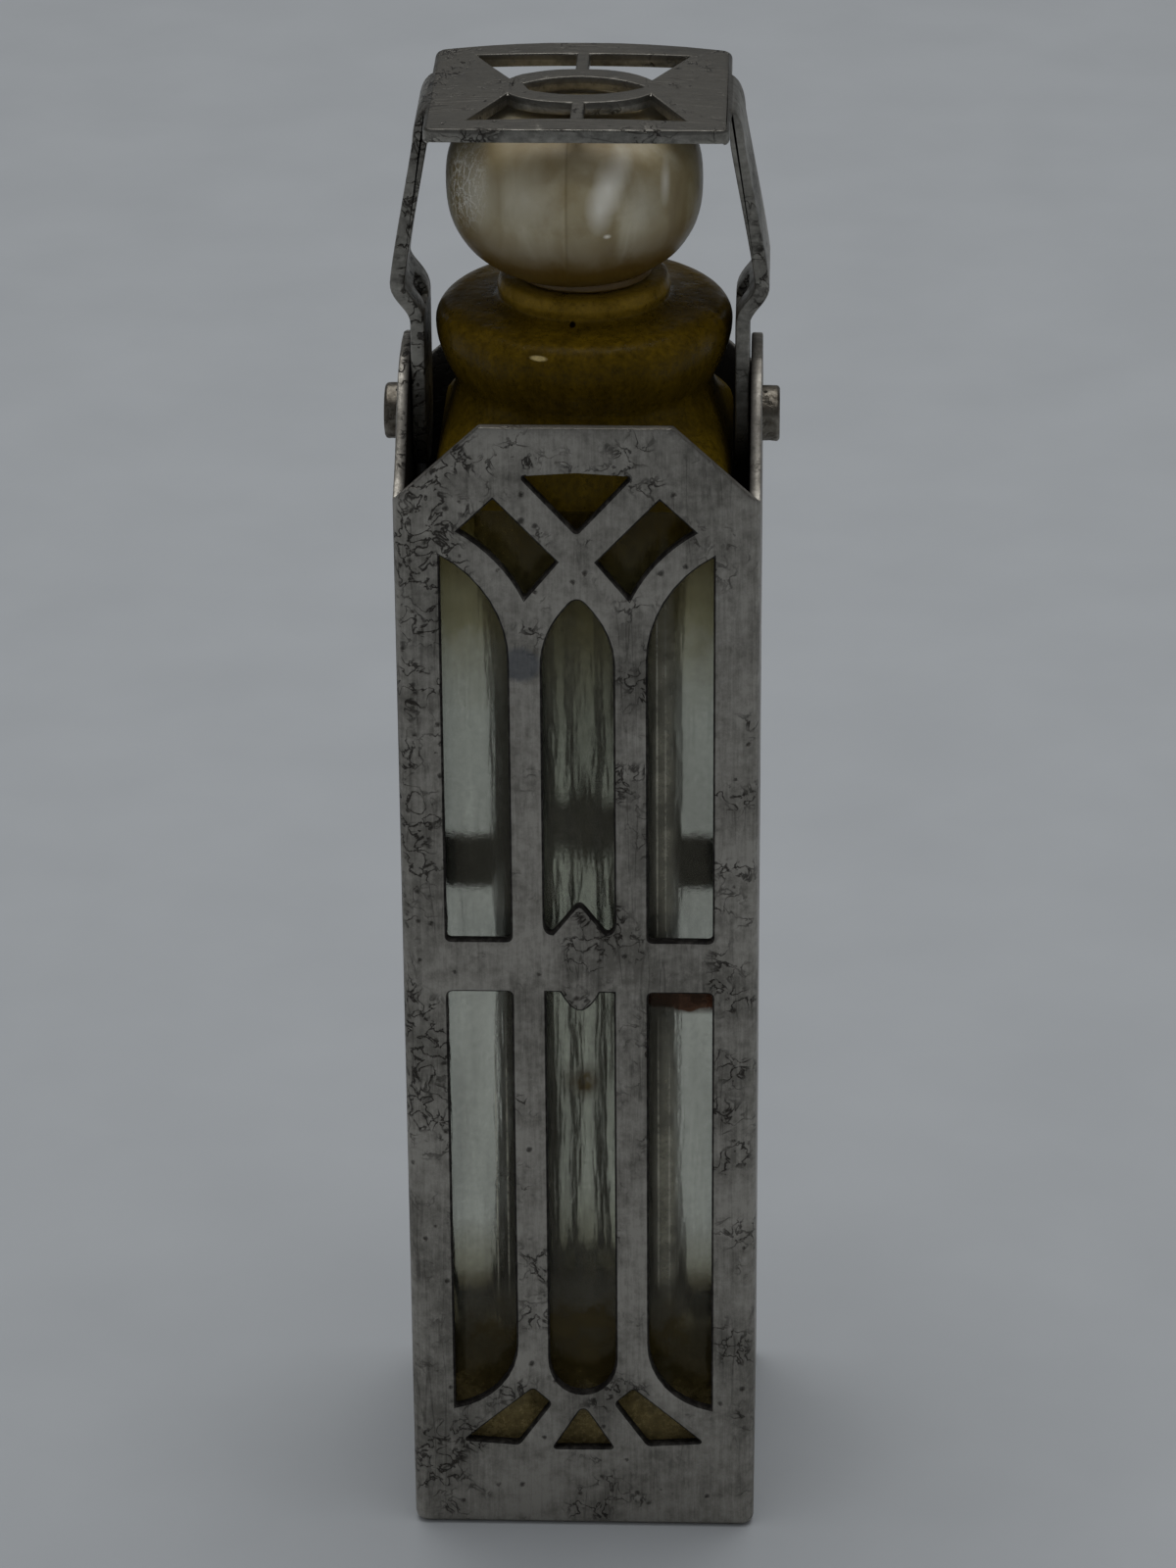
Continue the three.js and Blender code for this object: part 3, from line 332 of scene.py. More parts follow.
def calm(distance, reach):
    """From 0 at an edge to 1 at that reach from it, smoothly."""
    share = min(max(distance / reach, 0), 1)
    return share * share * (3 - 2 * share)


def keep_flats_flat(piece):
    """Lets the large faces rule the shading next to a small rounding."""
    weighted = piece.modifiers.new("flat_faces_first", "WEIGHTED_NORMAL")
    weighted.keep_sharp = True


for side in ("left", "right"):
    towards_middle = Vector((1 if side == "left" else -1, 0, 0))

    def inward(place):
        free = min(inner_y - abs(place.y), STIFF_EAR - place.z, place.z - STIFF_FOOT)
        return towards_middle * calm(free, WALL_CALM)

    node = f"case_{side}_wall"
    shape = merged_copy(node)
    round_edges(shape, EDGE_ROUNDING, at_seam, sawn=lambda face: 0)
    cut_into_squares(shape, WALL_SQUARE, (1, 2))
    dent(shape, WALL_DENT, DENT_SIZE, inward, seed=3)
    wall = finished(shape, f"{side}_side_wall", sheet_silver, "case", "silver_sheet", node)
    keep_flats_flat(wall)

# Front and back panels: sheet with sloping shoulders, its windows sawn out by hand.
# Both are soldered over the walls' ends, and their outer corners are filed round.
PANEL_SQUARE = 0.6 * MM
PANEL_DENT = 0.07 * MM
PANEL_CALM = 2 * MM
PIERCED_HALF_WIDTH = 4.85 * MM
PIERCED_FOOT = 1 * MM
PIERCED_TOP = 42.8 * MM
SQUARE_ON = 0.97  # a face turned to the front or back by this share or more is the sheet's flat


def sawn_window(face):
    """1 on the sides and lips of a window, 0 elsewhere on a panel."""
    place = face.calc_center_median()
    pierced = abs(place.x) < PIERCED_HALF_WIDTH and PIERCED_FOOT < place.z < PIERCED_TOP
    return int(pierced and abs(face.normal.y) < SQUARE_ON)


for side in ("front", "back"):
    towards_middle = Vector((0, 1 if side == "front" else -1, 0))

    def inward(place):
        free = min(inner_x - abs(place.x), place.z - STIFF_FOOT)
        return towards_middle * calm(free, PANEL_CALM)

    node = f"case_{side}_panel"
    shape = merged_copy(node)
    round_edges(shape, EDGE_ROUNDING, at_seam, sawn_window)
    cut_into_squares(shape, PANEL_SQUARE, (0, 2))
    dent(shape, PANEL_DENT, DENT_SIZE, inward, seed=11)
    panel = finished(shape, f"pierced_{side}_panel", sheet_silver, "case", "silver_sheet", node)
    keep_flats_flat(panel)

# Vial: thick clear soda glass, moulded square with a round bulging shoulder, a round neck and bore.
# It stands loose on the base plate. Old scent has dried to amber on its bore and under its shoulder.
VIAL_HALF = 5.2 * MM
VIAL_CORNER = 0.5 * MM
FOOT_ROUNDING = 0.35 * MM
SHOULDER_EDGE_DROP = 0.8 * MM  # of the shoulder's widest place, below its top
SHOULDER_EDGE_REACH = 0.85 * MM  # how far in from there the top has levelled out
WAIST_RADIUS = 4.53 * MM  # of the round waist under the shoulder
WAIST_DROP = 2.8 * MM
BODY_DRAW = 3.2 * MM  # height over which the square body draws in to the waist
NECK_RADIUS = 2.98 * MM
NECK_HEIGHT = 0.9 * MM
LIP_ROUNDING = 0.22 * MM
MOUTH_RADIUS = 1.9 * MM
MOUTH_LENGTH = 5.2 * MM
SEAT_TAPER = 0.035  # radius lost on the way down
BORE_TOP_WALL = 1.27 * MM
BORE_WAIST_WALL = 1.77 * MM
BORE_FOOT_WALL = 1.47 * MM
BORE_TOP_DEPTH = 8.2 * MM
BORE_WAIST_DEPTH = 18.8 * MM
BORE_WAIST_FOOT = 13.5 * MM
BORE_FOOT_HEIGHT = 8.0 * MM
BASE_GLASS = 3.7 * MM
GLASS_STEPS = 128  # round every ring of the skin
FOOT_RINGS = 4
BODY_RINGS = 46
DRAW_RINGS = 12
BULGE_RINGS = 10
FLOOR_RINGS = 11
MOULD_WAVE = 0.05 * MM
WAVE_ACROSS = 2.2 * MM
WAVE_ALONG = 9 * MM
WAVE_CALM = 3 * MM

vial_low, vial_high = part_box("vial")
vial_middle = (vial_low.x + vial_high.x) / 2
shoulder_radius = (vial_high.x - vial_low.x) / 2
foot = vial_low.z
lip = vial_high.z
vial_shoulder = lip - NECK_HEIGHT
shoulder_edge = vial_shoulder - SHOULDER_EDGE_DROP
waist = vial_shoulder - WAIST_DROP


def smooth_line(points, steps):
    """A smooth line through some points, with that many steps between two of them."""
    line = []
    ends = [points[0], *points, points[-1]]
    for a, b, c, d in zip(ends, ends[1:], ends[2:], ends[3:]):
        for i in range(steps):
            t = i / steps
            line.append(
                tuple(
                    q + t / 2 * (r - p + t * (2 * p - 5 * q + 4 * r - s + t * (3 * (q - r) + s - p)))
                    for p, q, r, s in zip(a, b, c, d)
                )
            )
    return [*line, tuple(points[-1])]


def square_reach(angle, half, corner):
    """How far a rounded square's edge lies from its middle, seen along one angle."""
    across, along = abs(cos(angle)), abs(sin(angle))
    straight, most = half - corner, max(across, along)
    if half * min(across, along) / most <= straight:
        return half / most
    towards = straight * (across + along)
    return towards + sqrt(max(towards**2 - 2 * straight**2 + corner**2, 0))


def skin_over(rings, steps):
    """A closed skin over rings of (height, half width, corner), up outside and down the bore."""
    shape = bmesh.new()
    loops = []
    for height, half, corner in rings:
        loop = []
        for i in range(steps):
            angle = 2 * pi * i / steps
            reach = square_reach(angle, half, corner)
            loop.append(shape.verts.new((reach * cos(angle), reach * sin(angle), height)))
        loops.append(loop)
    for low, high in zip(loops, loops[1:]):
        for i in range(steps):
            j = (i + 1) % steps
            shape.faces.new((low[i], low[j], high[j], high[i]))
    for loop, height, turned in ((loops[0], rings[0][0], True), (loops[-1], rings[-1][0], False)):
        middle = shape.verts.new((0, 0, height))
        for i in range(steps):
            a, b = loop[i], loop[(i + 1) % steps]
            shape.faces.new((middle, b, a) if turned else (middle, a, b))
    return shape


outer_rings = []
for i in range(FOOT_RINGS + 1):
    turn = pi / 2 * i / FOOT_RINGS
    half = VIAL_HALF - FOOT_ROUNDING * (1 - sin(turn))
    outer_rings.append((foot + FOOT_ROUNDING * (1 - cos(turn)), half, VIAL_CORNER))
body_top = waist - BODY_DRAW
for i in range(1, BODY_RINGS):
    height = foot + FOOT_ROUNDING + (body_top - foot - FOOT_ROUNDING) * i / BODY_RINGS
    outer_rings.append((height, VIAL_HALF, VIAL_CORNER))
for i in range(DRAW_RINGS):
    share = (1 - cos(pi * i / DRAW_RINGS)) / 2
    half = VIAL_HALF + (WAIST_RADIUS - VIAL_HALF) * share
    corner = VIAL_CORNER + (WAIST_RADIUS - VIAL_CORNER) * share
    outer_rings.append((body_top + BODY_DRAW * i / DRAW_RINGS, half, corner))
shoulder = []
for i in range(BULGE_RINGS):
    bulge = (shoulder_radius - WAIST_RADIUS) * sin(pi / 2 * i / BULGE_RINGS)
    shoulder.append((waist + (shoulder_edge - waist) * i / BULGE_RINGS, WAIST_RADIUS + bulge))
for i in range(BULGE_RINGS + 1):
    turn = pi / 2 * i / BULGE_RINGS
    height = shoulder_edge + SHOULDER_EDGE_DROP * sin(turn)
    shoulder.append((height, shoulder_radius - SHOULDER_EDGE_REACH * (1 - cos(turn))))


def seat_radius(height):
    """The mouth's radius at a height, which the stopper's peg follows."""
    return MOUTH_RADIUS - SEAT_TAPER * (lip - height)


bore_top = VIAL_HALF - BORE_TOP_WALL
bore_waist = VIAL_HALF - BORE_WAIST_WALL
bore_foot = VIAL_HALF - BORE_FOOT_WALL
bore_floor = foot + BASE_GLASS
neck = smooth_line(
    [
        (vial_shoulder + 0.02 * MM, NECK_RADIUS + 0.22 * MM),
        (vial_shoulder + 0.16 * MM, NECK_RADIUS),
        (vial_shoulder + NECK_HEIGHT / 2, NECK_RADIUS + 0.06 * MM),
        (lip - LIP_ROUNDING, NECK_RADIUS),
        (lip - 0.3 * LIP_ROUNDING, NECK_RADIUS - 0.3 * LIP_ROUNDING),
        (lip, NECK_RADIUS - LIP_ROUNDING),
    ],
    3,
)
mouth = [
    (lip, MOUTH_RADIUS + 0.1 * MM),
    (lip - 0.1 * MM, seat_radius(lip)),
    (lip - MOUTH_LENGTH, seat_radius(lip - MOUTH_LENGTH)),
]
bore = smooth_line(
    [
        (lip - MOUTH_LENGTH - 0.15 * MM, seat_radius(lip - MOUTH_LENGTH) + 0.12 * MM),
        (lip - BORE_TOP_DEPTH + 1.6 * MM, 0.78 * bore_top),
        (lip - BORE_TOP_DEPTH + 0.6 * MM, 0.95 * bore_top),
        (lip - BORE_TOP_DEPTH - 0.6 * MM, bore_top),
        (lip - BORE_TOP_DEPTH - 2.6 * MM, bore_top + 0.3 * (bore_waist - bore_top)),
        (lip - BORE_TOP_DEPTH - 5.6 * MM, bore_top + 0.8 * (bore_waist - bore_top)),
        (lip - BORE_WAIST_DEPTH, bore_waist),
        (lip - BORE_WAIST_DEPTH - 5 * MM, bore_waist - 0.03 * MM),
        (BORE_WAIST_FOOT, bore_waist),
        (BORE_WAIST_FOOT - 3 * MM, bore_waist + 0.6 * (bore_foot - bore_waist)),
        (BORE_FOOT_HEIGHT, bore_foot),
    ],
    6,
)
for i in range(1, FLOOR_RINGS + 1):
    turn = pi / 2 * i / (FLOOR_RINGS + 1)
    bore.append((BORE_FOOT_HEIGHT - (BORE_FOOT_HEIGHT - bore_floor) * sin(turn), bore_foot * cos(turn)))
round_rings = [(height, radius, radius) for height, radius in [*shoulder, *neck, *mouth, *bore]]
shape = skin_over([*outer_rings, *round_rings], GLASS_STEPS)

# The body's skin is slightly wavy, outside and in, and the shoulder, the neck and its seat are true
for corner in shape.verts:
    calmed = calm(min(corner.co.z - foot, body_top - corner.co.z), WAVE_CALM)
    outward = Vector((corner.co.x, corner.co.y, 0))
    if outward.length > 0.1 * MM and corner.co.z < lip - MOUTH_LENGTH:
        place = Vector((*(corner.co.xy / WAVE_ACROSS), corner.co.z / WAVE_ALONG))
        wave = 0.5 + 0.5 * noise.noise(place)
        corner.co -= outward.normalized() * MOULD_WAVE * wave * calmed
    corner.co.x += vial_middle
inside_height = lip - MOUTH_LENGTH + NEARLY

# Dried scent covers the bore, and most thickly the glass above the body
for face in shape.faces:
    middle = face.calc_center_median()
    reach = hypot(middle.x - vial_middle, middle.y)
    in_bore = reach < bore_top + 0.02 * MM and bore_floor - NEARLY < middle.z < inside_height
    if in_bore and face.normal.xy.dot((middle.x - vial_middle, middle.y)) < 0.001:
        face.material_index = 1
    elif middle.z > body_top:
        face.material_index = 2


def set_stops(ramp, stops):
    """Gives a new colour ramp its stops of (position, linear colour), from the lowest up."""
    for i, (position, colour) in enumerate(stops):
        stop = ramp.color_ramp.elements[i] if i < 2 else ramp.color_ramp.elements.new(1)
        stop.position = position
        stop.color = colour


def aged_glass(name, stops, haze, marks=(), gloss=0.5):
    """Old moulded soda glass, clear but wavy, with dried scent and dust on its skin.

    The eye sees what lies behind bent into upright streaks, a dull bloom, and amber and olive residue.
    stops are (height in mm, colour, share of the skin that residue covers), haze is the roughness that
    the bloom adds, marks are (place, reach, colour, strength) for single spots, in mm, and gloss is the
    shader's specular level, low under thick residue.
    """
    material, tree, mm = bare_material(name)
    long = add(tree, "ShaderNodeVectorMath", [mm, (1, 1, 0.12), (0.3, 0, 0)], operation="MULTIPLY_ADD")
    cords = add(tree, "ShaderNodeTexNoise", {"Vector": long, "Scale": 1.1, "Detail": 3, "Roughness": 0.6})
    bloom = add(tree, "ShaderNodeTexNoise", {"Vector": mm, "Scale": 0.8, "Detail": 6, "Roughness": 0.72})
    grit = add(tree, "ShaderNodeTexNoise", {"Vector": mm, "Scale": 4.5, "Detail": 4, "Roughness": 0.75})

    # The residue keeps to heights, with a swaying border
    top = 48.0  # height in mm of the ramp's end
    up = add(tree, "ShaderNodeSeparateXYZ", [mm]).outputs["Z"]
    sway = add(tree, "ShaderNodeMath", [bloom, 4.0, -2.0], operation="MULTIPLY_ADD")
    up = add(tree, "ShaderNodeMath", [up, sway], operation="ADD")
    up = add(tree, "ShaderNodeMath", [up, top], operation="DIVIDE")
    ramp = add(tree, "ShaderNodeValToRGB", [up])
    set_stops(ramp, [(height / top, (*linear(colour)[:3], share)) for height, colour, share in stops])
    streak = add(tree, "ShaderNodeMapRange", [cords, 0.38, 0.62, 0.8, 1.15])
    tint = add(tree, "ShaderNodeVectorMath", [ramp, streak], operation="MULTIPLY")
    speck = add(tree, "ShaderNodeMapRange", [grit, 0.3, 0.7, 0.75, 1.25])
    dusty = add(tree, "ShaderNodeMapRange", [grit, 0.35, 0.65, 0.82, 1.12])
    tint = add(tree, "ShaderNodeVectorMath", [tint, dusty], operation="MULTIPLY")
    film = add(tree, "ShaderNodeMath", [ramp.outputs["Alpha"], speck], operation="MULTIPLY")
    film = add(tree, "ShaderNodeMath", [film, 0], operation="ADD", use_clamp=True)

    # Single marks lie on it, patchy, and coloured out to their thin edges
    patchy = add(tree, "ShaderNodeMapRange", [bloom, 0.38, 0.6, 0.55, 1.25])
    for middle, reach, colour, strength in marks:
        here = spot(tree, mm, middle, reach, edge=0.3)
        here = add(tree, "ShaderNodeMath", [here, strength], operation="MULTIPLY")
        here = add(tree, "ShaderNodeMath", [here, patchy], operation="MULTIPLY", use_clamp=True)
        coloured = add(tree, "ShaderNodeMath", [here, 3], operation="MULTIPLY", use_clamp=True)
        tint = mixed(tree, coloured, tint, linear(colour))
        film = add(tree, "ShaderNodeMath", [film, here], operation="MAXIMUM")

    # Light passes where the film is thin, and the film and the bloom are dull
    clear = add(tree, "ShaderNodeMath", [1, film], operation="SUBTRACT")
    dull = add(tree, "ShaderNodeMapRange", [bloom, 0.42, 0.7, 0.02, haze])
    dull = add(tree, "ShaderNodeMath", [film, 0.3, dull], operation="MULTIPLY_ADD")
    height = add(tree, "ShaderNodeMath", [grit, 0.12, cords], operation="MULTIPLY_ADD")
    bump = add(tree, "ShaderNodeBump", {"Height": height, "Strength": 1, "Distance": 0.065 * MM})
    finish = {
        "Base Color": tint,
        "Roughness": dull,
        "IOR": 1.52,
        "Specular IOR Level": gloss,
        "Specular Tint": linear("#b3a88f"),
        "Transmission Weight": clear,
        "Normal": bump,
    }
    shader = add(tree, "ShaderNodeBsdfPrincipled", finish)
    add(tree, "ShaderNodeOutputMaterial", {"Surface": shader})
    return material


outer_glass = aged_glass(
    "soda_glass_moulded_aged",
    [
        (0.0, "#968860", 0.8),
        (4.8, "#8c7e55", 0.7),
        (6.0, "#4d4329", 0.45),
        (7.2, "#8a866c", 0.14),
        (9.0, "#c4c6ba", 0.06),
        (24.0, "#c4c6ba", 0.06),
        (33.0, "#b2b5a8", 0.08),
        (37.0, "#7a7450", 0.3),
        (40.5, "#4f4216", 0.5),
    ],
    haze=0.08,
    marks=[
        ((3.0, -5.2, 30.5), (0.55, 0.4, 10), "#b4b3a2", 0.36),
        ((3.05, -5.2, 14.0), (0.6, 0.4, 9.5), "#b4b3a2", 0.4),
        ((2.75, -5.2, 30.5), (0.06, 0.4, 9), "#d0cfbf", 0.6),
        ((3.05, -5.2, 30.0), (0.05, 0.4, 8.5), "#d0cfbf", 0.5),
        ((2.78, -5.2, 14.5), (0.06, 0.4, 9), "#d0cfbf", 0.5),
        ((3.18, -5.2, 14.0), (0.05, 0.4, 8.5), "#d0cfbf", 0.5),
        ((-2.75, -5.2, 14.5), (0.06, 0.4, 9), "#c4c3b3", 0.45),
        ((-3.15, -5.2, 14.0), (0.05, 0.4, 8.5), "#c4c3b3", 0.45),
        # painted shadow: a dark brown band on the vial's front, under the case's crossbar
        ((4.1, -5.2, 21.95), (2.9, 0.8, 0.75), "#2a0f06", 1.0),
        ((0.0, -5.2, 18.4), (1.0, 0.5, 1.0), "#43331a", 0.3),
        ((0.0, -5.2, 7.4), (9.0, 0.9, 3.4), "#544a2a", 0.36),
    ],
)
bore_glass = aged_glass(
    "dried_scent_on_glass_bore",
    [
        (0.0, "#3a2d12", 0.6),
        (4.8, "#3f3520", 0.4),
        (6.5, "#8f8f78", 0.12),
        (8.5, "#eff0e8", 0.03),
        (31.0, "#dfe1d5", 0.05),
        (35.0, "#8b8560", 0.25),
        (39.0, "#4c3d10", 0.45),
        (48.0, "#4a380a", 0.45),
    ],
    haze=0.08,
)
amber_glass = aged_glass(
    "soda_glass_amber_with_dried_scent",
    [
        (0.0, "#52430e", 0.85),
        (41.0, "#52430c", 0.85),
        (45.0, "#4b3b06", 0.85),
        (48.0, "#4d3c07", 0.85),
    ],
    haze=0.2,
    marks=[
        ((0.1, 0.0, 47.5), (3.55, 3.55, 0.8), "#7f6722", 1.4),
        ((-0.2, -3.05, 46.97), (0.13, 0.2, 0.2), "#0c0602", 0.95),
        ((-1.3, -4.9, 46.5), (0.35, 0.6, 0.1), "#a89868", 0.5),
        # painted highlights: two pale spots on the collar's sides
        ((-3.0, -1.6, 47.3), (0.12, 0.4, 0.3), "#c0b48a", 0.7),
        ((3.1, -1.5, 47.3), (0.12, 0.4, 0.3), "#a89868", 0.7),
    ],
    gloss=0.12,
)
vial = finished(shape, "glass_vial", outer_glass, "case", "clear_glass", "vial")
vial.data.materials.append(bore_glass)
vial.data.materials.append(amber_glass)

# Stopper: pearly moulded glass, a round knob over a ground and tapered peg that seals the neck.
# It lies in the vial's mouth by its own weight, and its knob was moulded a little off the peg's axis.
KNOB_RISE = 0.37 * MM  # of the knob's foot, above the neck's lip
KNOB_FOOT_RADIUS = 2.62 * MM
KNOB_OFFSET = 0.3 * MM
COLLAR_GAP = 0.06 * MM
COLLAR_RADIUS = 2.42 * MM
COLLAR_ROUNDING = 0.08 * MM
SEAT_CLEARANCE = 0.04 * MM
SEAM_HALF_ANGLE = 0.035  # radians of the mould's seam to either side
ONE_POINT = 0.0005 * MM  # the ends of a turned skin close over this gap
ON_AXIS = 1e-7  # metres, a point this near the axis lies on it
KNOB_OUTLINE = (  # shares of the knob's radius and of its height
    (0.70, 0.05),
    (0.85, 0.15),
    (0.96, 0.30),
    (1.00, 0.48),
    (0.98, 0.70),
    (0.87, 0.85),
    (0.65, 0.94),
    (0.33, 0.99),
    (0.00, 1.00),
)
stopper_low, stopper_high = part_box("stopper")
peg_foot = stopper_low.z
knob_foot = lip + KNOB_RISE
knob_height = stopper_high.z - knob_foot
knob_radius = stopper_high.y

turned = bpy.data.node_groups.new("turned_shape", "GeometryNodeTree")
for kind, labels in (
    ("NodeSocketGeometry", ["Outline"]),
    ("NodeSocketInt", ["Steps Round", "Seed", "Copies"]),
    ("NodeSocketFloat", ["Unevenness", "Mark Size", "Upper From Height", "Upper Shift"]),
    ("NodeSocketFloat", ["Seam Height", "Seam Angle", "Tilt"]),
    ("NodeSocketVector", ["Place"]),
    ("NodeSocketMaterial", ["Material"]),
):
    for label in labels:
        turned.interface.new_socket(label, in_out="INPUT", socket_type=kind)
turned.interface.new_socket("Mesh", in_out="OUTPUT", socket_type="NodeSocketGeometry")
given = add(turned, "NodeGroupInput").outputs

# A grid with a row for each point of the outline, (radius, 0, height), is rolled up round the Z axis
count = add(turned, "GeometryNodeAttributeDomainSize", [given["Outline"]])
grid = add(turned, "GeometryNodeMeshGrid", {"Vertices X": count, "Vertices Y": given["Steps Round"]})
number = add(turned, "GeometryNodeInputIndex")
row = add(turned, "ShaderNodeMath", [number, given["Steps Round"]], operation="DIVIDE")
row = add(turned, "ShaderNodeMath", [row], operation="FLOOR")
step = add(turned, "ShaderNodeMath", [number, given["Steps Round"]], operation="MODULO")
gaps = add(turned, "ShaderNodeMath", [given["Steps Round"], 1], operation="SUBTRACT")
share = add(turned, "ShaderNodeMath", [step, gaps], operation="DIVIDE")
angle = add(turned, "ShaderNodeMath", [share, 2 * pi], operation="MULTIPLY")
position = add(turned, "GeometryNodeInputPosition")
sampled = {0: given["Outline"], "Value": position, "Index": row}
point = add(turned, "GeometryNodeSampleIndex", sampled, data_type="FLOAT_VECTOR")
reach, _, height = add(turned, "ShaderNodeSeparateXYZ", [point]).outputs

# The mould's seam stands out as a low ridge along one angle
away = add(turned, "ShaderNodeMath", [angle, given["Seam Angle"]], operation="SUBTRACT")
away = add(turned, "ShaderNodeMath", [away], operation="ABSOLUTE")
ridge = add(turned, "ShaderNodeMapRange", [away, 0.0, SEAM_HALF_ANGLE, given["Seam Height"], 0.0])
upper = add(turned, "ShaderNodeMath", [height, given["Upper From Height"]], operation="GREATER_THAN")
ridge = add(turned, "ShaderNodeMath", [ridge, upper], operation="MULTIPLY")

# The skin sinks in a little, unevenly, from the full radius
round_x = add(turned, "ShaderNodeMath", [angle], operation="COSINE")
round_y = add(turned, "ShaderNodeMath", [angle], operation="SINE")
full_x = add(turned, "ShaderNodeMath", [round_x, reach], operation="MULTIPLY")
full_y = add(turned, "ShaderNodeMath", [round_y, reach], operation="MULTIPLY")
full = add(turned, "ShaderNodeCombineXYZ", [full_x, full_y, height])
full = add(turned, "ShaderNodeVectorMath", [full, given["Mark Size"]], operation="DIVIDE")
pattern = {"Vector": full, "W": given["Seed"], "Scale": 1.0, "Detail": 1.0}
hollows = add(turned, "ShaderNodeTexNoise", pattern, noise_dimensions="4D")
sunk = add(turned, "ShaderNodeMath", [hollows, given["Unevenness"]], operation="MULTIPLY")
sunk = add(turned, "ShaderNodeMath", [sunk, upper], operation="MULTIPLY")
grown = add(turned, "ShaderNodeMath", [ridge, sunk], operation="SUBTRACT")
grown = add(turned, "ShaderNodeMath", [grown, reach], operation="ADD")
grown = add(turned, "ShaderNodeMath", [grown, 0.0], operation="MAXIMUM")
off_axis = add(turned, "ShaderNodeMath", [reach, ON_AXIS], operation="GREATER_THAN")
radius = add(turned, "ShaderNodeMath", [grown, off_axis], operation="MULTIPLY")
x = add(turned, "ShaderNodeMath", [round_x, radius], operation="MULTIPLY")
shift = add(turned, "ShaderNodeMath", [upper, given["Upper Shift"]], operation="MULTIPLY")
x = add(turned, "ShaderNodeMath", [x, shift], operation="ADD")
y = add(turned, "ShaderNodeMath", [round_y, radius], operation="MULTIPLY")
rolled = add(turned, "ShaderNodeCombineXYZ", [x, y, height])
skin = add(turned, "GeometryNodeSetPosition", {0: grid, "Position": rolled})
skin = add(turned, "GeometryNodeMergeByDistance", {0: skin, "Distance": ONE_POINT})

# Copies stand round the Z axis, each tilted by the same angle
spots = add(turned, "GeometryNodePoints", {"Count": given["Copies"], "Position": given["Place"]})
part_of_turn = add(turned, "ShaderNodeMath", [number, given["Copies"]], operation="DIVIDE")
part_of_turn = add(turned, "ShaderNodeMath", [part_of_turn, 2 * pi], operation="MULTIPLY")
facing = add(turned, "ShaderNodeCombineXYZ", {1: given["Tilt"], 2: part_of_turn})
copies = add(turned, "GeometryNodeInstanceOnPoints", {0: spots, "Instance": skin, "Rotation": facing})
copies = add(turned, "GeometryNodeRealizeInstances", [copies])
copies = add(turned, "GeometryNodeSetMaterial", {0: copies, "Material": given["Material"]})
add(turned, "NodeGroupOutput", [copies])


def turned_piece(name, outline, values):
    """Runs the tree on an outline of (radius, height) points and returns the plain shape."""
    mesh = bpy.data.meshes.new(name)
    places = [(radius, 0, height) for radius, height in outline]
    mesh.from_pydata(places, [(i, i + 1) for i in range(len(places) - 1)], [])
    draft = bpy.data.objects.new(name, mesh)
    bpy.context.scene.collection.objects.link(draft)
    modifier = draft.modifiers.new("turned", "NODES")
    modifier.node_group = turned
    for socket in turned.interface.items_tree:
        if socket.name in values:
            modifier[socket.identifier] = values[socket.name]
    evaluated = draft.evaluated_get(bpy.context.evaluated_depsgraph_get())
    plain = bpy.data.meshes.new_from_object(evaluated)
    shape = bmesh.new()
    shape.from_mesh(plain)
    bmesh.ops.recalc_face_normals(shape, faces=shape.faces)
    bpy.data.objects.remove(draft)
    return shape


